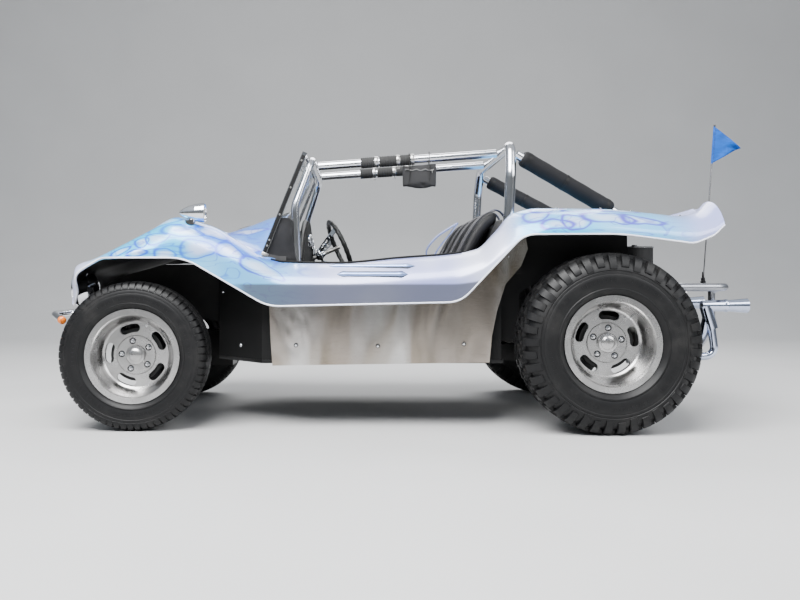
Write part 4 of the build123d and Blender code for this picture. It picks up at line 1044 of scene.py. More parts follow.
class BUGGY_OT_finishes(bpy.types.Operator):
    """Makes the finishes and puts them on the frame's own parts"""
    bl_idname = "buggy.finishes"
    bl_label = "Finishes"

    def execute(self, context):
        look = context.scene.buggy_paint
        FINISHES.update(
            paint=pearl_paint(look), alloy=alloy_sheet(),
            under=black_coat("underside", 0.006, 0.6, 60.0, 0.25, dust=0.12),
            chassis=black_coat("chassis_black", 0.005, 0.40, 30.0, 0.1, 0.15),
            shroud=black_coat("shroud_black", 0.005, 0.25, 30.0, 0.06, 0.5, 0.05),
            tub=black_coat("tub_black", 0.005, 0.62, 260.0, 0.3, dust=0.06),
            trim=black_coat("trim_rubber", 0.006, 0.5, 90.0, 0.1),
            chrome=plain_metal("chrome", (0.86, 0.87, 0.89), (0.72, 0.74, 0.78), 0.08, smears=0.10),
            satin=plain_metal("satin_tube", (0.42, 0.43, 0.46), (0.30, 0.31, 0.34), 0.34, (1, 1, 6), 90.0),
            blued=plain_metal("exhaust_chrome", (0.62, 0.68, 0.84), (0.40, 0.46, 0.64), 0.12),
            # The trim bars' blue is a painted reflection of blue sky, on a half-metal finish.
            spear=plain_metal("trim_bar_sky_reflection", (0.30, 0.42, 0.72), (0.22, 0.31, 0.58), 0.30, metallic=0.75),
            tube=plain_metal("polished_tube", (0.74, 0.75, 0.78), (0.60, 0.62, 0.66), 0.16, (1, 1, 6),
                             90.0),
            steel=plain_metal("zinc_steel", (0.50, 0.50, 0.50), (0.34, 0.33, 0.31), 0.32, fine=120.0,
                              bump=0.12),
            dark_steel=plain_metal("dark_steel", (0.10, 0.10, 0.105), (0.05, 0.048, 0.045), 0.42,
                                   fine=120.0, bump=0.15),
            cast=plain_metal("cast_alloy", (0.36, 0.355, 0.34), (0.20, 0.195, 0.18), 0.46, fine=420.0,
                             bump=0.45),
            tyre=tyre_rubber(), foam=foam_tube(), filter=filter_stack(),
            vinyl=grained("black_leathercloth", (0.008, 0.008, 0.009), (0.018, 0.018, 0.020), rough=0.36),
            bag=woven("bag_canvas", (0.006, 0.006, 0.007), (0.016, 0.016, 0.017), 700.0, sheen=0.05),
            webbing=woven("harness_webbing", (0.02, 0.028, 0.075), (0.055, 0.065, 0.13), 900.0, 0.55, 0.5),
            loop=woven("harness_edging", (0.10, 0.14, 0.34), (0.30, 0.36, 0.60), 900.0, 0.5, 0.5),
            tape=woven("grip_tape", (0.008, 0.008, 0.008), (0.02, 0.02, 0.02), 500.0, sheen=0.05),
            wrap=grained("rim_leather", (0.012, 0.012, 0.012), (0.03, 0.03, 0.03), 500.0, 0.38),
            glass=clear("screen_glass", (0.93, 0.96, 0.95)),
            lamp_glass=clear("lamp_glass", (0.96, 0.97, 0.98), 0.04),
            amber=amber_lens(), flag=flag_cloth(look),
            whip=plain_metal("whip_rod", (0.60, 0.60, 0.62), (0.45, 0.45, 0.47), 0.25),
            black_metal=plain_metal("dark_chrome", (0.02, 0.02, 0.022), (0.04, 0.04, 0.042), 0.25,
                                    metallic=0.6),
            floor=floor_paper(),
            # The lip bead's pearl is lighter than the body's: a painted highlight along the rolled lip.
            bright_pearl=plain_metal("bright_pearl", (0.86, 0.88, 0.94), (0.74, 0.77, 0.88), 0.2,
                                     metallic=0.1),
            seat_shell=grained("seat_shell", (0.010, 0.010, 0.011), (0.022, 0.022, 0.023), 120.0, 0.5),
            # The piping is coloured lighter than the seat vinyl: a painted highlight for the bolsters' lit
            # edges.
            piping=grained("piping", (0.05, 0.05, 0.055), (0.09, 0.09, 0.095), 420.0, 0.4),
            dial=black_coat("dial_face", 0.008, 0.3, 300.0, 0.02, dust=0.0),
            pale=plain_metal("pale_paint", (0.8, 0.8, 0.78), (0.7, 0.7, 0.68), 0.5, metallic=0.0),
            mirror=plain_metal("mirror_glass", (0.9, 0.9, 0.9), (0.84, 0.86, 0.88), 0.03, fine=20.0,
                               bump=0.0, smears=0.03),
        )
        for end, centre, face, turn, drum_edge in WHEELS:
            FINISHES[f"{end}_wheel"] = rim_alloy(end, centre, drum_edge, turn)
        wanted = {}
        for name, nodes in NODE_FINISHES.items():
            for node in nodes.split():
                wanted[node] = name
        missing = set(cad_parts) - set(wanted)
        if missing:
            raise RuntimeError("no finish for " + ", ".join(sorted(missing)))
        for node, name in wanted.items():
            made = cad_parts[node]
            if made.material_slots:
                for slot in made.material_slots:
                    slot.material = FINISHES[name]
            else:
                made.data.materials.append(FINISHES[name])
        return {"FINISHED"}


NODE_FINISHES = {
    "paint": "nose_panel front_wing_left front_wing_right side_top_left side_top_right rear_wing_left "
             "rear_wing_right rear_deck",
    "alloy": "side_panels", "under": "nose_tub", "tub": "cabin_tub dashboard",
    "chassis": "floor_pan front_beam knuckle_left knuckle_right rear_suspension pedals",
    "shroud": "fan_shroud", "trim": "fan_belt",
    "chrome": "front_bumper headlamps mirror_left mirror_right rocker_covers", "satin": "rear_bumper",
    "blued": "exhaust", "filter": "air_cleaner",
    "tube": "front_hoop main_hoop roof_rails rear_braces windscreen_frame",
    "steel": "steering_gear pitman_arm tie_rods generator levers", "dark_steel": "dampers",
    "cast": "engine_block transaxle", "amber": "indicators", "glass": "windscreen_glass",
    "foam": "brace_pads", "vinyl": "seat_left seat_right", "bag": "roof_bag", "wrap": "steering_wheel",
    "flag": "flag", "whip": "flag_whip",
    "front_wheel": "rim_front_left rim_front_right", "rear_wheel": "rim_rear_left rim_rear_right",
    "tyre": "tyre_front_left tyre_front_right tyre_rear_left tyre_rear_right",
}


class BUGGY_OT_body(bpy.types.Operator):
    """Moulded body in one continuous skin, from nose to tail"""
    bl_idname = "buggy.body"
    bl_label = "Body"

    def execute(self, context):
        shape = body_mesh()
        mesh = bpy.data.meshes.new("body_skin")
        shape.to_mesh(mesh)
        shape.free()
        made = bpy.data.objects.new("body_skin", mesh)
        bpy.context.scene.collection.objects.link(made)
        mesh.materials.append(FINISHES["paint"])
        mesh.materials.append(FINISHES["under"])
        mesh.shade_smooth()
        modified(made, "SOLIDIFY", thickness=context.scene.buggy_sizes.body_skin, offset=-1.0,
                 material_offset=1, use_even_offset=False)
        applied(made)
        made.data.set_sharp_from_angle(angle=math.radians(48))
        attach(made, "chassis")
        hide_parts("nose_panel", "front_wing_left", "front_wing_right", "side_top_left",
                    "side_top_right", "rear_wing_left", "rear_wing_right", "rear_deck")
        return {"FINISHED"}


class BUGGY_OT_tyres(bpy.types.Operator):
    """Road tyres in front and lugged tyres behind"""
    bl_idname = "buggy.tyres"
    bl_label = "Tyres"

    def execute(self, context):
        sizes = context.scene.buggy_sizes
        for end, centre, *_ in WHEELS:
            for hand, side in SIDES:
                shape = bmesh.new()
                place = wheel_frame(centre, side)
                if end == "front":
                    road_tyre(shape, place, sizes.front_blocks)
                else:
                    lugged_tyre(shape, place, sizes.rear_lugs)
                sidewall_marks(shape, place, *SIDEWALL_MARKS[end])
                made = piece(f"{end}_tyre_{hand}", shape, "tyre", f"wheel_{end}_{hand}", 32.0)
                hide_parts(f"tyre_{end}_{hand}")
        return {"FINISHED"}


class BUGGY_OT_hubs(bpy.types.Operator):
    """Wheel nuts in their wells, and the valve stems"""
    bl_idname = "buggy.hubs"
    bl_label = "Hubs"

    def execute(self, context):
        for end, centre, face, turn, *_ in WHEELS:
            for hand, side in SIDES:
                shape = bmesh.new()
                place = wheel_frame(centre, side)
                for k in range(NUTS):
                    angle = math.radians(turn + 360 / NUTS * k)
                    seat = Vector((math.cos(angle) * NUT_CIRCLE, math.sin(angle) * NUT_CIRCLE, face - 2))
                    wheel_nut(shape, place @ Matrix.Translation(seat * MM))
                between = math.radians(turn + 180 / NUTS)
                foot, tip = (polar(place, radius, between, face + out) for radius, out in VALVE)
                sweep(shape, [foot, foot.lerp(tip, 0.5), foot.lerp(tip, 0.52), tip], round_section(4.2, 10))
                piece(f"{end}_nuts_{hand}", shape, "chrome", f"wheel_{end}_{hand}", 30.0)
        return {"FINISHED"}


class BUGGY_OT_trim(bpy.types.Operator):
    """Lip bead, cockpit edging, pointed trim bars and the body's fasteners"""
    bl_idname = "buggy.trim"
    bl_label = "Body trim"

    def execute(self, context):
        form = BodyShape()
        bead, edging, spears, screws, shade_outlines = (bmesh.new() for _ in range(5))
        for side in (-1, 1):
            edge = []
            for top, lip_s, lip_z in body_rows():
                band, brow = form.outer(top, lip_z)
                edge.append(spot(lip_s, (band[-1].x - 2.5) * side, band[-1].y + 1.5))
            sweep(bead, edge, round_section(4.2, 10))
            rail = [spot(s, -COCKPIT_HALF * side, form.tracks[6](s) + 5) for s in range(*COCKPIT_STATIONS)]
            sweep(edging, rail, slab_section(13, 9, 2.5))
            for start, end, z, wide in SPEARS:
                path, normal = [], None
                for i in range(SPEAR_STEPS + 1):
                    station = start + (end - start) * i / SPEAR_STEPS
                    here, normal = form.side_point(station, z)
                    path.append(spot(station, (here.x + normal.x * 1.5) * side, here.y + normal.y * 1.5))
                outward = (0, normal.x * side, normal.y)
                flat = [(a * wide / 2, b * SPEAR_RISE) for a, b in SPEAR_FORM]
                sweep(spears, path, flat, up=outward, grow=spear_width)
                # Painted shade: a thin dark band a little wider than each bar, swept under it, stands for
                # the dark line of shade along the bar's edges.
                pad = [(a * (wide / 2 + SHADE_OUTLINE), b * SHADE_OUTLINE) for a, b in SPEAR_FORM]
                sweep(shade_outlines, path, pad, up=outward, grow=spear_width)
            for station, y, z, normal, across in BODY_SCREWS:
                outward = (normal[0], normal[1] * side, normal[2])
                screw_head(screws, spot(station, y * side, z), outward, across, across * 0.35)
        piece("lip_bead", bead, "bright_pearl")
        piece("cockpit_edging", edging, "trim")
        piece("trim_bars", spears, "spear", smooth=50)
        piece("trim_bar_shade_outlines", shade_outlines, "trim", smooth=50)
        piece("body_screws", screws, "chrome", smooth=30)
        return {"FINISHED"}


# Cockpit edging: half width; first station, last and step
COCKPIT_HALF = 574
COCKPIT_STATIONS = (600, 1480, 20)
# Trim bars: start, end, height, width
SPEARS = ((862, 1246, 727, 25), (900, 1212, 690, 27))
SPEAR_STEPS, SPEAR_RISE, SHADE_OUTLINE = 36, 7.5, 3.2
SPEAR_FORM = ((-1, -0.4), (-0.72, 0.40), (-0.25, 0.95), (0.0, 1.0), (0.25, 0.95), (0.72, 0.40), (1, -0.4))
BODY_SCREWS = (
    # station, y, height, outward direction, width
    (1886, -600, 986, (0, 0, 1), 15), (2079, -600, 985, (0, 0, 1), 15), (2222, -597, 975, (0, 0, 1), 15),
    (1745, -655, 962, (-0.2, -0.5, 1), 12), (2440, -590, 954, (0, 0, 1), 13),
    (717, -625, 376, (0, -1, 0), 15), (1082, -625, 372, (0, -1, 0), 15), (1465, -625, 381, (0, -1, 0), 15),
    (1665, -625, 770, (0, -1, 0), 8), (350, -352, 609, (-0.72, -0.69, 0), 14),
    (449, -456, 363, (-0.72, -0.69, 0), 14), (-250, -512, 690, (-1, 0, 0.3), 12),
    (-150, -560, 768, (-0.5, 0, 1), 12),
)


def spear_width(share):
    """Width of a pointed bar along its length: swollen near its ends, drawn to points."""
    edge = min(share, 1 - share)
    point = max(0.03, min(1.0, edge / 0.09)) ** 0.8
    if edge > 0.14:
        return point
    return point * (1.0 + 0.18 * math.sin(math.pi * edge / 0.14))


class BUGGY_OT_seats(bpy.types.Operator):
    """Padded bucket seats with piped bolsters and sewn channels"""
    bl_idname = "buggy.seats"
    bl_label = "Seats"

    def execute(self, context):
        shell = bmesh.new()
        rings = []
        for side, edge, inset in ((-1, 0, 10), (-1, 3, 3), (-1, 10, 0), (1, 10, 0), (1, 3, 3), (1, 0, 10)):
            ring = []
            for s, z in SEAT_SHELL:
                toward = (SEAT_HEART - Vector((s, z))).normalized() * inset
                ring.append(spot(s + toward.x, (SEAT_HALF - edge) * side - SEAT_MIDDLE, z + toward.y))
            rings.append(ring)
        skin(shell, rings, capped=True)
        left_shell = piece("seat_shell_left", shell, "seat_shell", smooth=35)
        pads = bmesh.new()
        for line in (CUSHION_LINE, BACK_LINE):
            path = eased([spot(s, -SEAT_MIDDLE, z) for s, z in line], 8)
            sweep(pads, path, pillow_section(248, 50), up=(1, 0, 1), grow=cushion_ends)
        left_pad = piece("seat_pad_left", pads, "vinyl", smooth=180)
        puffed(left_pad, 0.008, 4.0, 0.012)
        finer(left_pad)
        pressed(left_pad, channel_depth)
        rolls = bmesh.new()
        for side in (-1, 1):
            path = eased([spot(s, -SEAT_MIDDLE + BOLSTER_HALF * side, z) for s, z in BOLSTER_LINE], 6)
            sweep(rolls, path, pillow_section(56, 66, 20, 2.4), up=(1, 0, 1), grow=cushion_ends)
        left_roll = piece("seat_bolsters_left", rolls, "vinyl", smooth=180)
        puffed(left_roll, 0.008, 4.0, 0.008)
        finer(left_roll)
        piping = bmesh.new()
        for off in (-SEAT_HALF, -PIPE_HALF, PIPE_HALF, SEAT_HALF):
            path = eased([spot(s - 2, -SEAT_MIDDLE + off, z + 2) for s, z in PIPING_LINE], 8)
            sweep(piping, path, round_section(3.6, 8))
        left_piping = piece("seat_piping_left", piping, "piping", smooth=180)
        for left, name in ((left_shell, "seat_shell_right"), (left_pad, "seat_pad_right"),
                           (left_roll, "seat_bolsters_right"), (left_piping, "seat_piping_right")):
            right = mirrored(left, name)
            if "shell" in name:
                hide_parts("seat_left")
                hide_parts("seat_right")
        return {"FINISHED"}


# Seats: middle, half width and half spread of the bolsters and of the inner piping
SEAT_MIDDLE, SEAT_HALF, BOLSTER_HALF, PIPE_HALF = 300, 202, 168, 135
# Lines of (station, height) along one seat
SEAT_HEART = Vector((1450, 560))
SEAT_SHELL = ((1146, 305), (1136, 396), (1180, 404), (1330, 366), (1384, 382), (1450, 470), (1600, 870),
              (1628, 938), (1660, 946), (1648, 880), (1556, 560), (1500, 305))
CUSHION_LINE = ((1148, 414), (1200, 424), (1290, 408), (1368, 396))
BACK_LINE = ((1412, 452), (1445, 540), (1490, 655), (1540, 785), (1584, 885), (1626, 936))
BOLSTER_LINE = ((1144, 440), (1190, 456), (1270, 450), (1345, 490), (1405, 600), (1475, 745), (1545, 880),
                (1600, 945), (1634, 950))
PIPING_LINE = ((1128, 470), (1190, 492), (1270, 484), (1318, 514), (1380, 622), (1446, 768), (1514, 896),
               (1572, 962), (1626, 982))
CHANNEL_PITCH = 58.0


def cushion_ends(share):
    """A cushion draws in at its two ends."""
    edge = min(share, 1 - share)
    return 0.62 + 0.38 * math.sin(math.pi / 2 * min(1.0, edge / 0.10))


def channel_depth(point, normal):
    """Sewn channels across the seat at an even pitch, and a seam down each side."""
    s, z = (point.x - AXLE_X) / MM, point.z / MM
    if normal.z < 0.1 and normal.x > -0.1:
        return 0.0
    line = CUSHION_LINE if s < 1390 and z < 452 else BACK_LINE
    run = (s - line[0][0]) if line is CUSHION_LINE else math.hypot(s - line[0][0], z - line[0][1])
    place = (run / CHANNEL_PITCH) % 1.0
    gap = min(place, 1 - place) * CHANNEL_PITCH
    across = abs(abs(point.y / MM) - SEAT_MIDDLE)
    deep = 6.0 * math.exp(-(gap / 6.0) ** 2) if across < 96 else 0.0
    side = 6.0 * math.exp(-((across - 98) / 5.0) ** 2)
    return max(deep, side) * MM


class BUGGY_OT_harness(bpy.types.Operator):
    """Shoulder and lap straps with their buckles"""
    bl_idname = "buggy.harness"
    bl_label = "Harness"

    def execute(self, context):
        webbing, buckles, loops = (bmesh.new() for _ in range(3))
        for side in (-1, 1):
            for off in (-SHOULDER_OFF, SHOULDER_OFF):
                path = eased([spot(s, (off - SEAT_MIDDLE) * side, z + 4) for s, z in SHOULDER_LINE], 6)
                gathered = []
                for point in path:
                    gather = max(0.0, min(1.0, (0.62 - point.z) / 0.2)) * 0.8
                    middle_y = -SEAT_MIDDLE * MM * side
                    gathered.append(Vector((point.x, point.y + (middle_y - point.y) * gather, point.z)))
                strap(webbing, gathered, WEB_WIDTH, up=(0.26, 0, 0.97))
            for off in (-LAP_OFF, LAP_OFF):
                line = [spot(s, (off * spread - SEAT_MIDDLE) * side, z) for s, spread, z in LAP_LINE]
                strap(webbing, eased(line, 6), WEB_WIDTH, up=(0.3, 0, 1))
            s, z = BUCKLE_PLACE
            hub = turned_frame(spot(s, -SEAT_MIDDLE * side, z), (-0.35, 0, 1))
            lathe(buckles, BUCKLE_HUB, hub, 28)
            for turn in (0.6, 2.2, 3.8, 5.4):
                tongue = hub @ Matrix.Rotation(turn, 4, "Z") @ Matrix.Translation(Vector((38, 0, 4)) * MM)
                brick(buckles, tongue, (30, 40, 5), 2.0)
            for off in (-SHOULDER_OFF, SHOULDER_OFF):
                s, z = SLIDER_PLACE
                slider = Matrix.Translation(spot(s, (off - SEAT_MIDDLE) * side, z))
                brick(buckles, slider @ Matrix.Rotation(math.radians(-22), 4, "Y"), (7, 56, 30), 2.4)
        for strand in LOOP_STRANDS:
            strap(loops, eased([spot(*corner) for corner in strand], 8), 44, 6.0, up=(-0.94, 0, 0.34))
        piece("harness_straps", webbing, "webbing", smooth=50)
        piece("harness_loop", loops, "loop", smooth=50)
        piece("harness_buckles", buckles, "black_metal", smooth=35)
        return {"FINISHED"}


# Harness: how far the straps lie from the middle of a seat, and their width
SHOULDER_OFF, LAP_OFF, WEB_WIDTH = 72, 120, 48
# Shoulder strap: station, height
SHOULDER_LINE = ((1715, 700), (1706, 850), (1690, 952), (1652, 992), (1602, 975), (1548, 892), (1488, 752),
                 (1432, 600), (1372, 500), (1322, 470))
# Lap strap: station, share of its spread, height
LAP_LINE = ((1440, 1.0, 420), (1400, 1.0, 462), (1350, 0.6, 474), (1325, 0.2, 476))
# Buckle and sliders: station, height; then the buckle's turned outline
BUCKLE_PLACE, SLIDER_PLACE = (1322, 478), (1512, 812)
BUCKLE_HUB = ((0.2, 18), (14, 17), (22, 14), (31, 12), (33, 8), (33, 0), (30, -3), (0.2, -3))
# The two strands of the strap loop that stands clear of the left seat: station, y, height
LOOP_STRANDS = (
    ((1350, -312, 720), (1322, -318, 800), (1366, -330, 866), (1424, -336, 908), (1470, -340, 936)),
    ((1470, -340, 936), (1442, -342, 896), (1404, -344, 850), (1366, -346, 796), (1336, -350, 720)),
)


class BUGGY_OT_cage(bpy.types.Operator):
    """Foam sleeves, tape, clamps and feet of the cage"""
    bl_idname = "buggy.cage"
    bl_label = "Cage trim"

    def execute(self, context):
        sleeves, bands, clamps, tape = (bmesh.new() for _ in range(4))
        for side in (-1, 1):
            top, foot = (spot(s, y * side, z) for s, y, z in (BRACE_TOP, BRACE_FOOT))
            run = foot - top
            path = [top + run * (0.05 + 0.80 * i / 60) for i in range(61)]
            sweep(sleeves, path, round_section(38, 36), grow=sleeve_girth)
            for share in (0.10, 0.43, 0.80):
                here = turned_frame(top + run * share, run)
                lathe(bands, SLEEVE_BAND, here, 36)
            for start, end in GRIP_TAPES:
                stations = [start + (end - start) * i / 24 for i in range(25)]
                line = [spot(s, -RAIL_Y * side, rail_height(s)) for s in stations]
                sweep(tape, line, round_section(26.5, 28), grow=tape_girth)
            for s in RAIL_CLAMPS:
                here = turned_frame(spot(s, -RAIL_Y * side, rail_height(s)), (1, 0, 0.07))
                lathe(clamps, CLAMP_RING, here, 30)
                lug_place = Matrix.Translation(spot(s, -RAIL_Y * side, rail_height(s) - 33))
                brick(clamps, lug_place, (17, 15, 15), 2.0)
            for s, y, z, radius in HOOP_FEET:
                here = turned_frame(spot(s, y * side, z), (0, 0, 1))
                flange = [(radius + 1, 9), (radius + 6, 8), (radius + 20, 3), (radius + 22, 0),
                          (radius + 22, -8)]
                lathe(clamps, flange, here, 36)
                reach = radius + 15
                for k in range(4):
                    turn = math.tau * (k + 0.5) / 4
                    bolt = spot(s + math.cos(turn) * reach, y * side + math.sin(turn) * reach, z + 5)
                    screw_head(clamps, bolt, (0, 0, 1), 11, 6)
            foot_plate = turned_frame(foot + Vector((0, 0, 0.004)), (0.1, 0, 1))
            lathe(clamps, [(22, 14), (27, 12), (42, 6), (46, 3), (46, -4)], foot_plate, 36)
        made = piece("brace_sleeves", sleeves, "foam", smooth=50)
        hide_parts("brace_pads")
        piece("sleeve_bands", bands, "trim", smooth=40)
        piece("rail_clamps", clamps, "steel", smooth=35)
        piece("rail_grips", tape, "tape", smooth=60)
        return {"FINISHED"}


# Ends of the left brace: station, y, height
BRACE_TOP, BRACE_FOOT = (1722, -500, 1243), (2250, -432, 950)
# Roof rails: how far out they lie, then where the grip tapes start and end, and where the clamps sit
RAIL_Y = 220
GRIP_TAPES = ((1009, 1075), (1100, 1188), (1196, 1252))
RAIL_CLAMPS = (1085, 1192, 1262)
# Feet of the hoops: station, y, height, radius of the tube
HOOP_FEET = ((1668, -536, 716, 24), (733, -520, 306, 19))
# Turned outlines: radius, place along
SLEEVE_BAND = ((37.0, -8), (38.8, -7.4), (39.4, 0), (38.8, 7.4), (37.0, 8))
CLAMP_RING = ((21, -9), (26.5, -9), (28.2, -6), (28.2, 6), (26.5, 9), (21, 9))


def rail_height(station):
    """Height of a roof rail, which rises rearwards."""
    return 1224 + (station - 800) / 874 * 63


def tape_girth(share):
    """Tape wound round a rail swells at each turn."""
    return 1.0 + 0.03 * math.sin(share * 40)


def sleeve_girth(share):
    """Foam sleeve: rounded ends and a joint part-way along."""
    edge = min(share, 1 - share) * 60
    end = 0.80 + 0.20 * min(1.0, edge / 1.2)
    joint = 1.0 - 0.06 * math.exp(-((share - 0.47) * 70) ** 2)
    return end * joint * (1.0 + 0.012 * math.sin(share * 31))


class BUGGY_OT_bag(bpy.types.Operator):
    """Soft bag strapped under the left roof rail"""
    bl_idname = "buggy.bag"
    bl_label = "Roof bag"

    def execute(self, context):
        shape = bmesh.new()
        rings = []
        for k in range(13):
            t = k / 12
            s = BAG_START + (BAG_END - BAG_START) * t
            swell = math.sin(math.pi * min(1.0, max(0.0, 0.08 + 0.84 * t))) ** 0.35
            top, bottom = rail_height(s) - 26, BAG_BOTTOM + 10 * (1 - math.sin(math.pi * t))
            mid, half = (top + bottom) / 2, (top - bottom) / 2
            ring = []
            for i in range(24):
                c, n = math.cos(math.tau * i / 24), math.sin(math.tau * i / 24)
                across = BAG_HALF * swell * math.copysign(abs(c) ** 0.7, c)
                ring.append(spot(s, -RAIL_Y + across, mid + half * math.copysign(abs(n) ** 0.55, n)))
            rings.append(ring)
        skin(shape, rings, capped=True)
        bag = piece("roof_bag_body", shape, "bag", smooth=180)
        puffed(bag, 0.005, 4.0, 0.006)
        finer(bag)
        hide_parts("roof_bag")
        straps, zips = bmesh.new(), bmesh.new()
        for s in BAG_STRAPS:
            loop = []
            for i in range(33):
                c, n = math.cos(math.tau * i / 32), math.sin(math.tau * i / 32)
                across, upright = (24.5, 24) if n > 0 else (21.5, 122)
                loop.append(spot(s, -RAIL_Y + c * across, rail_height(s) + n * upright))
            strap(straps, loop, 20, 1.8, up=(1, 0, 0))
        start, end, y, z = ZIP
        teeth = [spot(start + (end - start) * i / 20, y, z + 3 * math.sin(i)) for i in range(21)]
        sweep(zips, teeth, slab_section(2.5, 6, 0.8))
        brick(zips, Matrix.Translation(spot(1358, -243, 1196)), (4, 2, 14), 0.8)
        piece("bag_straps", straps, "tape", smooth=50)
        piece("bag_zip", zips, "steel", smooth=35)
        return {"FINISHED"}


# Roof bag: first and last station, underside, half thickness and stations of its straps
BAG_START, BAG_END, BAG_BOTTOM, BAG_HALF = 1212, 1380, 1112, 15
BAG_STRAPS = (1246, 1344)
# Zip: start, end, y, height
ZIP = (1224, 1366, -240.5, 1204)


class BUGGY_OT_flag(bpy.types.Operator):
    """Small pennant on the whip, with its tip"""
    bl_idname = "buggy.flag"
    bl_label = "Flag"

    def execute(self, context):
        foot, head = spot(*WHIP_FOOT), spot(*WHIP_HEAD)
        axis = (head - foot).normalized()
        long_side, short_side, fly = (size * MM for size in PENNANT)
        shape = bmesh.new()
        rings = []
        for i in range(25):
            u = i / 24
            hoist = long_side + (short_side - long_side) * u
            ring = []
            for j in range(23):
                v = j / 22
                start = head - axis * (0.012 + v * hoist + u * 0.075)
                wave = 0.007 * math.sin(u * 7.0 + v * 2.0) * u + 0.004 * math.sin(v * 9 + u * 5) * u
                curl = max(0.0, u - 0.72) * max(0.0, 0.45 - v) * 0.16
                reach, droop = 0.006 + u * fly * (1 - 0.10 * v), 0.035 * u * u * (1 - v)
                ring.append(start + Vector((reach, wave - curl, -droop)))
            rings.append(ring)
        skin(shape, rings, closed=False)
        cloth = piece("pennant", shape, "flag", smooth=180)
        modified(cloth, "SOLIDIFY", thickness=0.0008, offset=0.0)
        applied(cloth)
        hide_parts("flag")
        fittings = bmesh.new()
        sleeve = [head - axis * (0.008 + 0.19 * i / 12) for i in range(13)]
        sweep(fittings, sleeve, round_section(5.2, 14))
        hem = piece("pennant_sleeve", fittings, "flag", smooth=60)
        tip = bmesh.new()
        top = turned_frame(head, axis)
        lathe(tip, [(0.2, 4), (4, 3), (5.5, 0), (5.2, -6), (3.6, -7)], top, 16)
        base = turned_frame(foot + Vector((0, 0, 0.2)) * MM, (0, 0, 1))
        lathe(tip, [(3.4, 58), (5, 56), (6.5, 30), (10, 26), (11, 12), (14, 10), (14, 0)], base, 18)
        piece("whip_fittings", tip, "black_metal", smooth=35)
        return {"FINISHED"}


# Ends of the whip: station, y, height; then the pennant's long side, short side and fly
WHIP_FOOT, WHIP_HEAD = (2780, 0, 649.3), (2840, 0, 1465)
PENNANT = (182, 40, 128)


class BUGGY_OT_helm(bpy.types.Operator):
    """Steering wheel: stitched grip, drilled spokes and a plain boss"""
    bl_idname = "buggy.helm"
    bl_label = "Steering wheel"

    def execute(self, context):
        place = turned_frame(spot(*HELM_PLACE), HELM_AXIS, (0, 1, 0))
        place = place @ Matrix.Rotation(math.radians(-90), 4, "Z")
        grip = bmesh.new()
        rings = []
        for i in range(96):
            a = math.tau * i / 96
            swell = 13.0 + 0.9 * math.cos(a * 24)
            ring = []
            for k in range(14):
                b = math.tau * k / 14
                ring.append(polar(place, HELM_RADIUS + swell * math.cos(b), a, swell * math.sin(b)))
            rings.append(ring)
        skin(grip, rings + [rings[0]])
        bmesh.ops.remove_doubles(grip, verts=grip.verts, dist=1e-6)
        made = piece("wheel_grip", grip, "wrap", "steering_wheel", 60)
        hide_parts("steering_wheel")
        spokes = bmesh.new()
        place = place @ Matrix.Translation(Vector((0, 0, -HELM_DISH)) * MM)
        lean = math.atan2(HELM_DISH - 8, 112)
        for turn in SPOKE_TURNS:
            arm = place @ Matrix.Rotation(math.radians(turn), 4, "Z")
            arm = arm @ Matrix.Translation(Vector((34, 0, 0)) * MM) @ Matrix.Rotation(-lean, 4, "Y")
            drilled_arm(spokes, arm, 0, 158, 16, (40, 76, 112), 9.5)
        lathe(spokes, HELM_BOSS, place, 40)
        for k in range(6):
            outward = place.to_3x3() @ Vector((0, 0, 1))
            screw_head(spokes, polar(place, 32, math.tau * (k + 0.5) / 6, 3.2), outward, 7, 3)
        piece("wheel_spokes", spokes, "chrome", "steering_wheel", 35)
        return {"FINISHED"}


# Steering wheel: place, axis of the column, radius, depth of the boss below the grip, spokes in degrees
HELM_PLACE = (897, 330, 848)
HELM_AXIS = (877, 170, 386)
HELM_RADIUS, HELM_DISH = 150, 122
SPOKE_TURNS = (-39, 81, -159)
HELM_BOSS = ((0.2, 31), (9, 30.4), (13, 28), (15, 22), (17, 16), (24, 10), (26, 4), (40, 3.4), (42, 2.2),
             (42, -3), (26, -4), (22, -16), (18, -22))


def drilled_arm(shape, place, start, end, half, holes, radius, thick=2.6):
    """Flat spoke with round lightening holes."""
    reach = radius + 3.5
    edges = [start] + [x for hole in holes for x in (hole - reach, hole + reach)] + [end]
    for a, b in zip(edges, edges[1:]):
        centre = (a + b) / 2
        hole = next((h for h in holes if abs(h - centre) < 1), None)
        if hole is None:
            bridge = place @ Matrix.Translation(Vector((centre, 0, 0)) * MM)
            brick(shape, bridge, (b - a + 0.02, half * 2, thick * 2), 0.8, steps=1)
            continue
        outer, inner = [], []
        for k in range(32):
            c, s = math.cos(math.tau * k / 32), math.sin(math.tau * k / 32)
            scale = min(reach / max(abs(c), 1e-6), half / max(abs(s), 1e-6))
            outer.append((hole + c * scale, s * scale))
            inner.append((hole + c * radius, s * radius))
        rings = []
        for ring, z in ((inner, -thick), (inner, thick), (outer, thick), (outer, -thick), (inner, -thick)):
            rings.append([place @ (Vector((x, y, z)) * MM) for x, y in ring])
        skin(shape, rings)


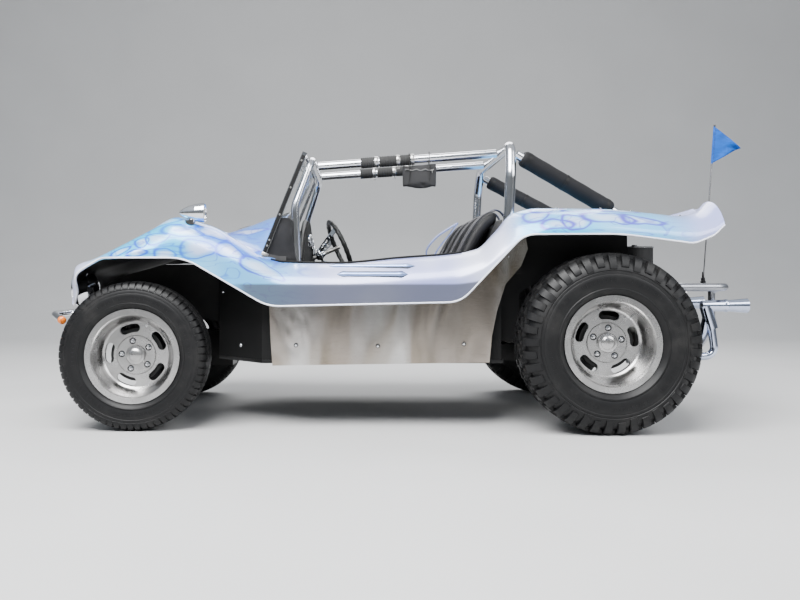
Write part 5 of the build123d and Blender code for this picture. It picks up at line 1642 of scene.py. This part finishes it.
class BUGGY_OT_dials(bpy.types.Operator):
    """Dials, switches and padded roll of the dashboard"""
    bl_idname = "buggy.dials"
    bl_label = "Dashboard"

    def execute(self, context):
        bezels, faces, marks = (bmesh.new() for _ in range(3))
        for y, z, radius in DIALS:
            here = turned_frame(spot(DASH_STATION, y, z), (1, 0, 0), (0, 0, 1))
            bezel = [(-5, 5), (-4, 9), (0, 10.5), (3.5, 9), (5, 4), (5, 0)]
            lathe(bezels, [(radius + out, high) for out, high in bezel], here, 40)
            lathe(faces, [(0.2, 4.4), (radius - 5, 4.4)], here, 40)
            for k in range(DIAL_TICKS):
                long, wide = (0.20, 1.5) if k % 5 == 0 else (0.11, 0.9)
                out = Matrix.Translation(Vector((radius * (0.82 - long / 2), 0, 4.9)) * MM)
                tick = here @ Matrix.Rotation(math.radians(225 - 13.5 * k), 4, "Z") @ out
                brick(marks, tick, (radius * long, wide, 0.5), 0.1, steps=1)
            out = Matrix.Translation(Vector((radius * 0.26, 0, 6)) * MM)
            needle = here @ Matrix.Rotation(math.radians(205), 4, "Z") @ out
            brick(marks, needle, (radius * 0.72, 1.8, 0.8), 0.3, steps=1)
            lathe(bezels, [(0.2, 7.5), (4, 7.2), (4.5, 5), (4.5, 4.4)], here, 16)
        for k in range(6):
            here = turned_frame(spot(DASH_STATION, -70 - 34 * k, 716), (1, 0, 0))
            lathe(bezels, [(3.2, 24), (3.6, 22), (2.4, 12), (6, 6), (9, 5.5), (9.5, 0)], here, 14)
        roll = bmesh.new()
        path = [spot(727, y, 758 + 208 * (1 - (y / 495) ** 2)) for y in range(-490, 491, 20)]
        sweep(roll, path, round_section(11, 12), up=(1, 0, 0))
        piece("dial_bezels", bezels, "chrome", smooth=40)
        piece("dial_faces", faces, "dial", smooth=30)
        piece("dial_marks", marks, "pale", smooth=30)
        piece("dash_roll", roll, "vinyl", smooth=60)
        return {"FINISHED"}


DASH_STATION, DIAL_TICKS = 745, 21
# Dials: y, height, radius
DIALS = ((250, 838, 40), (405, 812, 40), (60, 868, 27), (-10, 870, 27), (-80, 862, 27), (130, 862, 27))


class BUGGY_OT_lamps(bpy.types.Operator):
    """Headlamp bowls, reflectors and glasses, and the amber lamps"""
    bl_idname = "buggy.lamps"
    bl_label = "Lamps"

    def execute(self, context):
        bowls, glasses, ambers = (bmesh.new() for _ in range(3))
        for side in (-1, 1):
            s, y, z = HEADLAMP
            here = turned_frame(spot(s, y * side, z), (-1, 0, 0))
            lathe(bowls, LAMP_BOWL, here, 56)
            lathe(bowls, [(0.2, 44), (8, 42), (10, 36), (9, 14)], here, 20)
            back = tuple((radius, height - GLASS_THICK) for radius, height in LAMP_GLASS[::-1])
            lathe(glasses, LAMP_GLASS + back, here, 48)
            s, y, z = INDICATOR
            lamp = turned_frame(spot(s, y * side, z), (58, -80 * side, -21))
            lathe(ambers, [(0.2, 30), (8, 29.4), (14, 27.4), (17.6, 23.5), (18.6, 17), (18.6, 8)], lamp, 28)
            lathe(bowls, [(17, 9.5), (19, 9.5), (19, 1), (15, 0.6)], lamp, 28)
        made = piece("headlamp_bowls", bowls, "chrome", smooth=40)
        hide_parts("headlamps")
        piece("headlamp_glasses", glasses, "lamp_glass", smooth=40)
        amber = piece("indicator_lenses", ambers, "amber", smooth=50)
        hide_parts("indicators")
        return {"FINISHED"}


# Left lamps: station, y, height
HEADLAMP, INDICATOR = (-280, -330, 626), (-372, -500, 484)
# Outlines of the headlamps: radius, depth
LAMP_BOWL = ((0.2, -30), (30, -30), (52, -20), (74, 0), (78, 61), (83, 61.3), (83, 67), (82, 73), (79, 76),
             (74.5, 75.6), (71, 72.5), (70, 66), (60, 36), (40, 12), (18, 4), (0.2, 3))
LAMP_GLASS = ((70.6, 69), (64, 70.6), (48, 72.6), (26, 74), (0.2, 74.6))
GLASS_THICK = 3.2
# Foot and head of the screen, then the outline of each dash cheek and its middle: station, height
SCREEN_FOOT, SCREEN_HEAD = Vector((562, 774)), Vector((753, 1246))
CHEEK_HEART = Vector((662, 830))
DASH_CHEEK = ((560, 742), (576, 790), (606, 866), (636, 938), (656, 950), (694, 938), (699, 866),
              (706, 790), (712, 742), (640, 738))


class BUGGY_OT_screen(bpy.types.Operator):
    """Rubber channel, screws and brackets of the windscreen, and the mirror glasses"""
    bl_idname = "buggy.screen"
    bl_label = "Windscreen trim"

    def execute(self, context):
        rubber, metal, mirrors, cheeks = (bmesh.new() for _ in range(4))
        for side in (-1, 1):
            for y, wide, thick in ((-526, 15, 6), (-552.4, 4, 15)):
                line = (SCREEN_FOOT.lerp(SCREEN_HEAD, 0.03 + 0.94 * i / 20) for i in range(21))
                sweep(rubber, [spot(s, y * side, z) for s, z in line], slab_section(wide, thick, 1.5),
                      up=(1, 0, -0.4))
            for share in (0.10, 0.155, 0.40, 0.66, 0.92):
                s, z = SCREEN_FOOT.lerp(SCREEN_HEAD, share)
                screw_head(metal, spot(s, -552 * side, z), (0, -side, 0), 11, 4)
            bracket = Matrix.Translation(spot(566, -545 * side, 768))
            brick(metal, bracket @ Matrix.Rotation(math.radians(22), 4, "Y"), (34, 30, 46), 4.0)
        for s, y, z in MIRROR_FACES:
            here = turned_frame(spot(s, y, z), (1, 0, 0))
            lathe(mirrors, [(0.2, 1.6), (20, 1.3), (36, 0.6), (39.6, 0.0)], here, 36)
        outer = eased([Vector(corner) for corner in DASH_CHEEK], 5, closed=True)
        for side in (-1, 1):
            rings = []
            for y, inset in ((-530, 3.0), (-532, 0.8), (-534, 0.0), (-537, 0.0), (-539, 0.8), (-541, 3.0)):
                line = [corner + (CHEEK_HEART - corner).normalized() * inset for corner in outer]
                rings.append([spot(s, y * side, z) for s, z in line])
            skin(cheeks, rings, capped=True)
        piece("dash_cheeks", cheeks, "vinyl", smooth=35)
        piece("screen_rubber", rubber, "trim", smooth=40)
        piece("screen_screws", metal, "steel", smooth=35)
        piece("mirror_glasses", mirrors, "mirror", smooth=60)
        return {"FINISHED"}


# Faces of the mirrors: station, y, height
MIRROR_FACES = ((305.4, -612, 966), (385.4, 612, 942))
# Colour of the surroundings from level (0) to overhead (1)
SKY_STOPS = ((0.0, (0.30, 0.30, 0.29)), (0.06, (0.16, 0.165, 0.16)), (0.22, (0.34, 0.37, 0.40)),
             (0.45, (0.80, 0.88, 1.0)), (1.0, (0.95, 0.98, 1.0)))
# Floor in metres: reach to the front, start and radius of its curve, height of its wall, half width
FLOOR_REACH, FLOOR_BEND, FLOOR_RADIUS, FLOOR_TOP, FLOOR_HALF = -16, 5.0, 4.0, 12.0, 22
# Width of the picture, and how far the lens is shifted across and up it, in pixels
PICTURE_WIDTH, SHIFT = 800, (45, -21)
CAMERA_STATION = 980


def studio_floor():
    """Floor that curves up into a wall."""
    shape = bmesh.new()
    turns = [math.pi / 2 * i / 16 for i in range(17)]
    bend = [(FLOOR_BEND + FLOOR_RADIUS * math.sin(a), FLOOR_RADIUS * (1 - math.cos(a))) for a in turns]
    profile = [(FLOOR_REACH, 0), *bend, (FLOOR_BEND + FLOOR_RADIUS, FLOOR_TOP)]
    sides = [[Vector((x, y, z)) for y, z in profile] for x in (-FLOOR_HALF, FLOOR_HALF)]
    skin(shape, sides, closed=False)
    mesh = bpy.data.meshes.new("studio_floor")
    shape.normal_update()
    shape.to_mesh(mesh)
    shape.free()
    mesh.materials.append(FINISHES["floor"])
    mesh.shade_smooth()
    floor = bpy.data.objects.new("studio_floor", mesh)
    bpy.context.scene.collection.objects.link(floor)


def surroundings(strength):
    """Plain sky whose colour goes by height."""
    world = bpy.data.worlds.new("studio")
    bpy.context.scene.world = world
    world.use_nodes = True
    maker = NodeMaker(world.node_tree)
    generated = maker.value("ShaderNodeTexCoord", output="Generated")
    height = maker.value("ShaderNodeSeparateXYZ", sockets={0: generated}, output=2)
    colour = maker.value("ShaderNodeValToRGB", {"stops": SKY_STOPS}, {0: height})
    sky = world.node_tree.nodes["Background"]
    maker.feed(sky.inputs["Color"], colour)
    maker.feed(sky.inputs["Strength"], strength)


def studio_light(name, place, power, size):
    """Square soft light that looks at the middle of the car."""
    lamp = bpy.data.lights.new(name, "AREA")
    lamp.energy, lamp.size = power, size
    holder = bpy.data.objects.new(name, lamp)
    holder.location = place
    aim = Vector((0, 0, 0.5)) - Vector(place)
    holder.rotation_euler = aim.to_track_quat("-Z", "Y").to_euler()
    bpy.context.scene.collection.objects.link(holder)


def studio_camera(look):
    """Camera of the photograph: level and square to the left side."""
    lens = bpy.data.cameras.new("camera")
    lens.lens, lens.sensor_width = 39.15, 36.0
    lens.clip_start, lens.clip_end = 0.05, 200.0
    lens.shift_x, lens.shift_y = (pixels / PICTURE_WIDTH for pixels in SHIFT)
    camera = bpy.data.objects.new("camera", lens)
    camera.location = (AXLE_X + CAMERA_STATION * MM, -look.stand_back, look.eye)
    camera.rotation_euler = (math.radians(90), 0, 0)
    bpy.context.scene.collection.objects.link(camera)
    bpy.context.scene.camera = camera


class BUGGY_OT_studio(bpy.types.Operator):
    """Pale floor, soft lights and the camera"""
    bl_idname = "buggy.studio"
    bl_label = "Studio"

    def execute(self, context):
        look = context.scene.buggy_studio
        studio_floor()
        surroundings(look.sky)
        studio_light("key_light", (-1.6, -3.4, 5.2), look.key, 4.2)
        studio_light("fill_light", (3.8, -3.0, 3.4), look.fill, 3.0)
        studio_light("back_light", (0.6, 4.2, 5.0), look.fill * 1.6, 4.0)
        studio_camera(look)
        return {"FINISHED"}


class BUGGY_PT_panel(bpy.types.Panel):
    bl_label = "Buggy"
    bl_idname = "BUGGY_PT_panel"
    bl_space_type = "VIEW_3D"
    bl_region_type = "UI"
    bl_category = "Buggy"

    def draw(self, context):
        for group in ("buggy_sizes", "buggy_paint", "buggy_studio"):
            settings = getattr(context.scene, group)
            for name in settings.__annotations__:
                self.layout.prop(settings, name)
        for step in STEPS:
            self.layout.operator(step.bl_idname)


STEPS = (BUGGY_OT_finishes, BUGGY_OT_studio, BUGGY_OT_body, BUGGY_OT_trim, BUGGY_OT_tyres, BUGGY_OT_hubs,
         BUGGY_OT_seats,
         BUGGY_OT_harness, BUGGY_OT_cage, BUGGY_OT_bag, BUGGY_OT_flag, BUGGY_OT_helm, BUGGY_OT_dials,
         BUGGY_OT_lamps, BUGGY_OT_screen)
GROUPS = (("buggy_paint", BuggyPaintLook), ("buggy_studio", BuggyStudioLook), ("buggy_sizes", BuggySizes))
CLASSES = tuple(group for _, group in GROUPS) + STEPS + (BUGGY_PT_panel,)


def register():
    for each in CLASSES:
        bpy.utils.register_class(each)
    for name, group in GROUPS:
        setattr(bpy.types.Scene, name, PointerProperty(type=group))


def unregister():
    for name, _ in GROUPS:
        delattr(bpy.types.Scene, name)
    for each in reversed(CLASSES):
        bpy.utils.unregister_class(each)


def main():
    register()
    for step in STEPS:
        group, name = step.bl_idname.split(".")
        getattr(getattr(bpy.ops, group), name)()


if __name__ == "__main__":
    main()
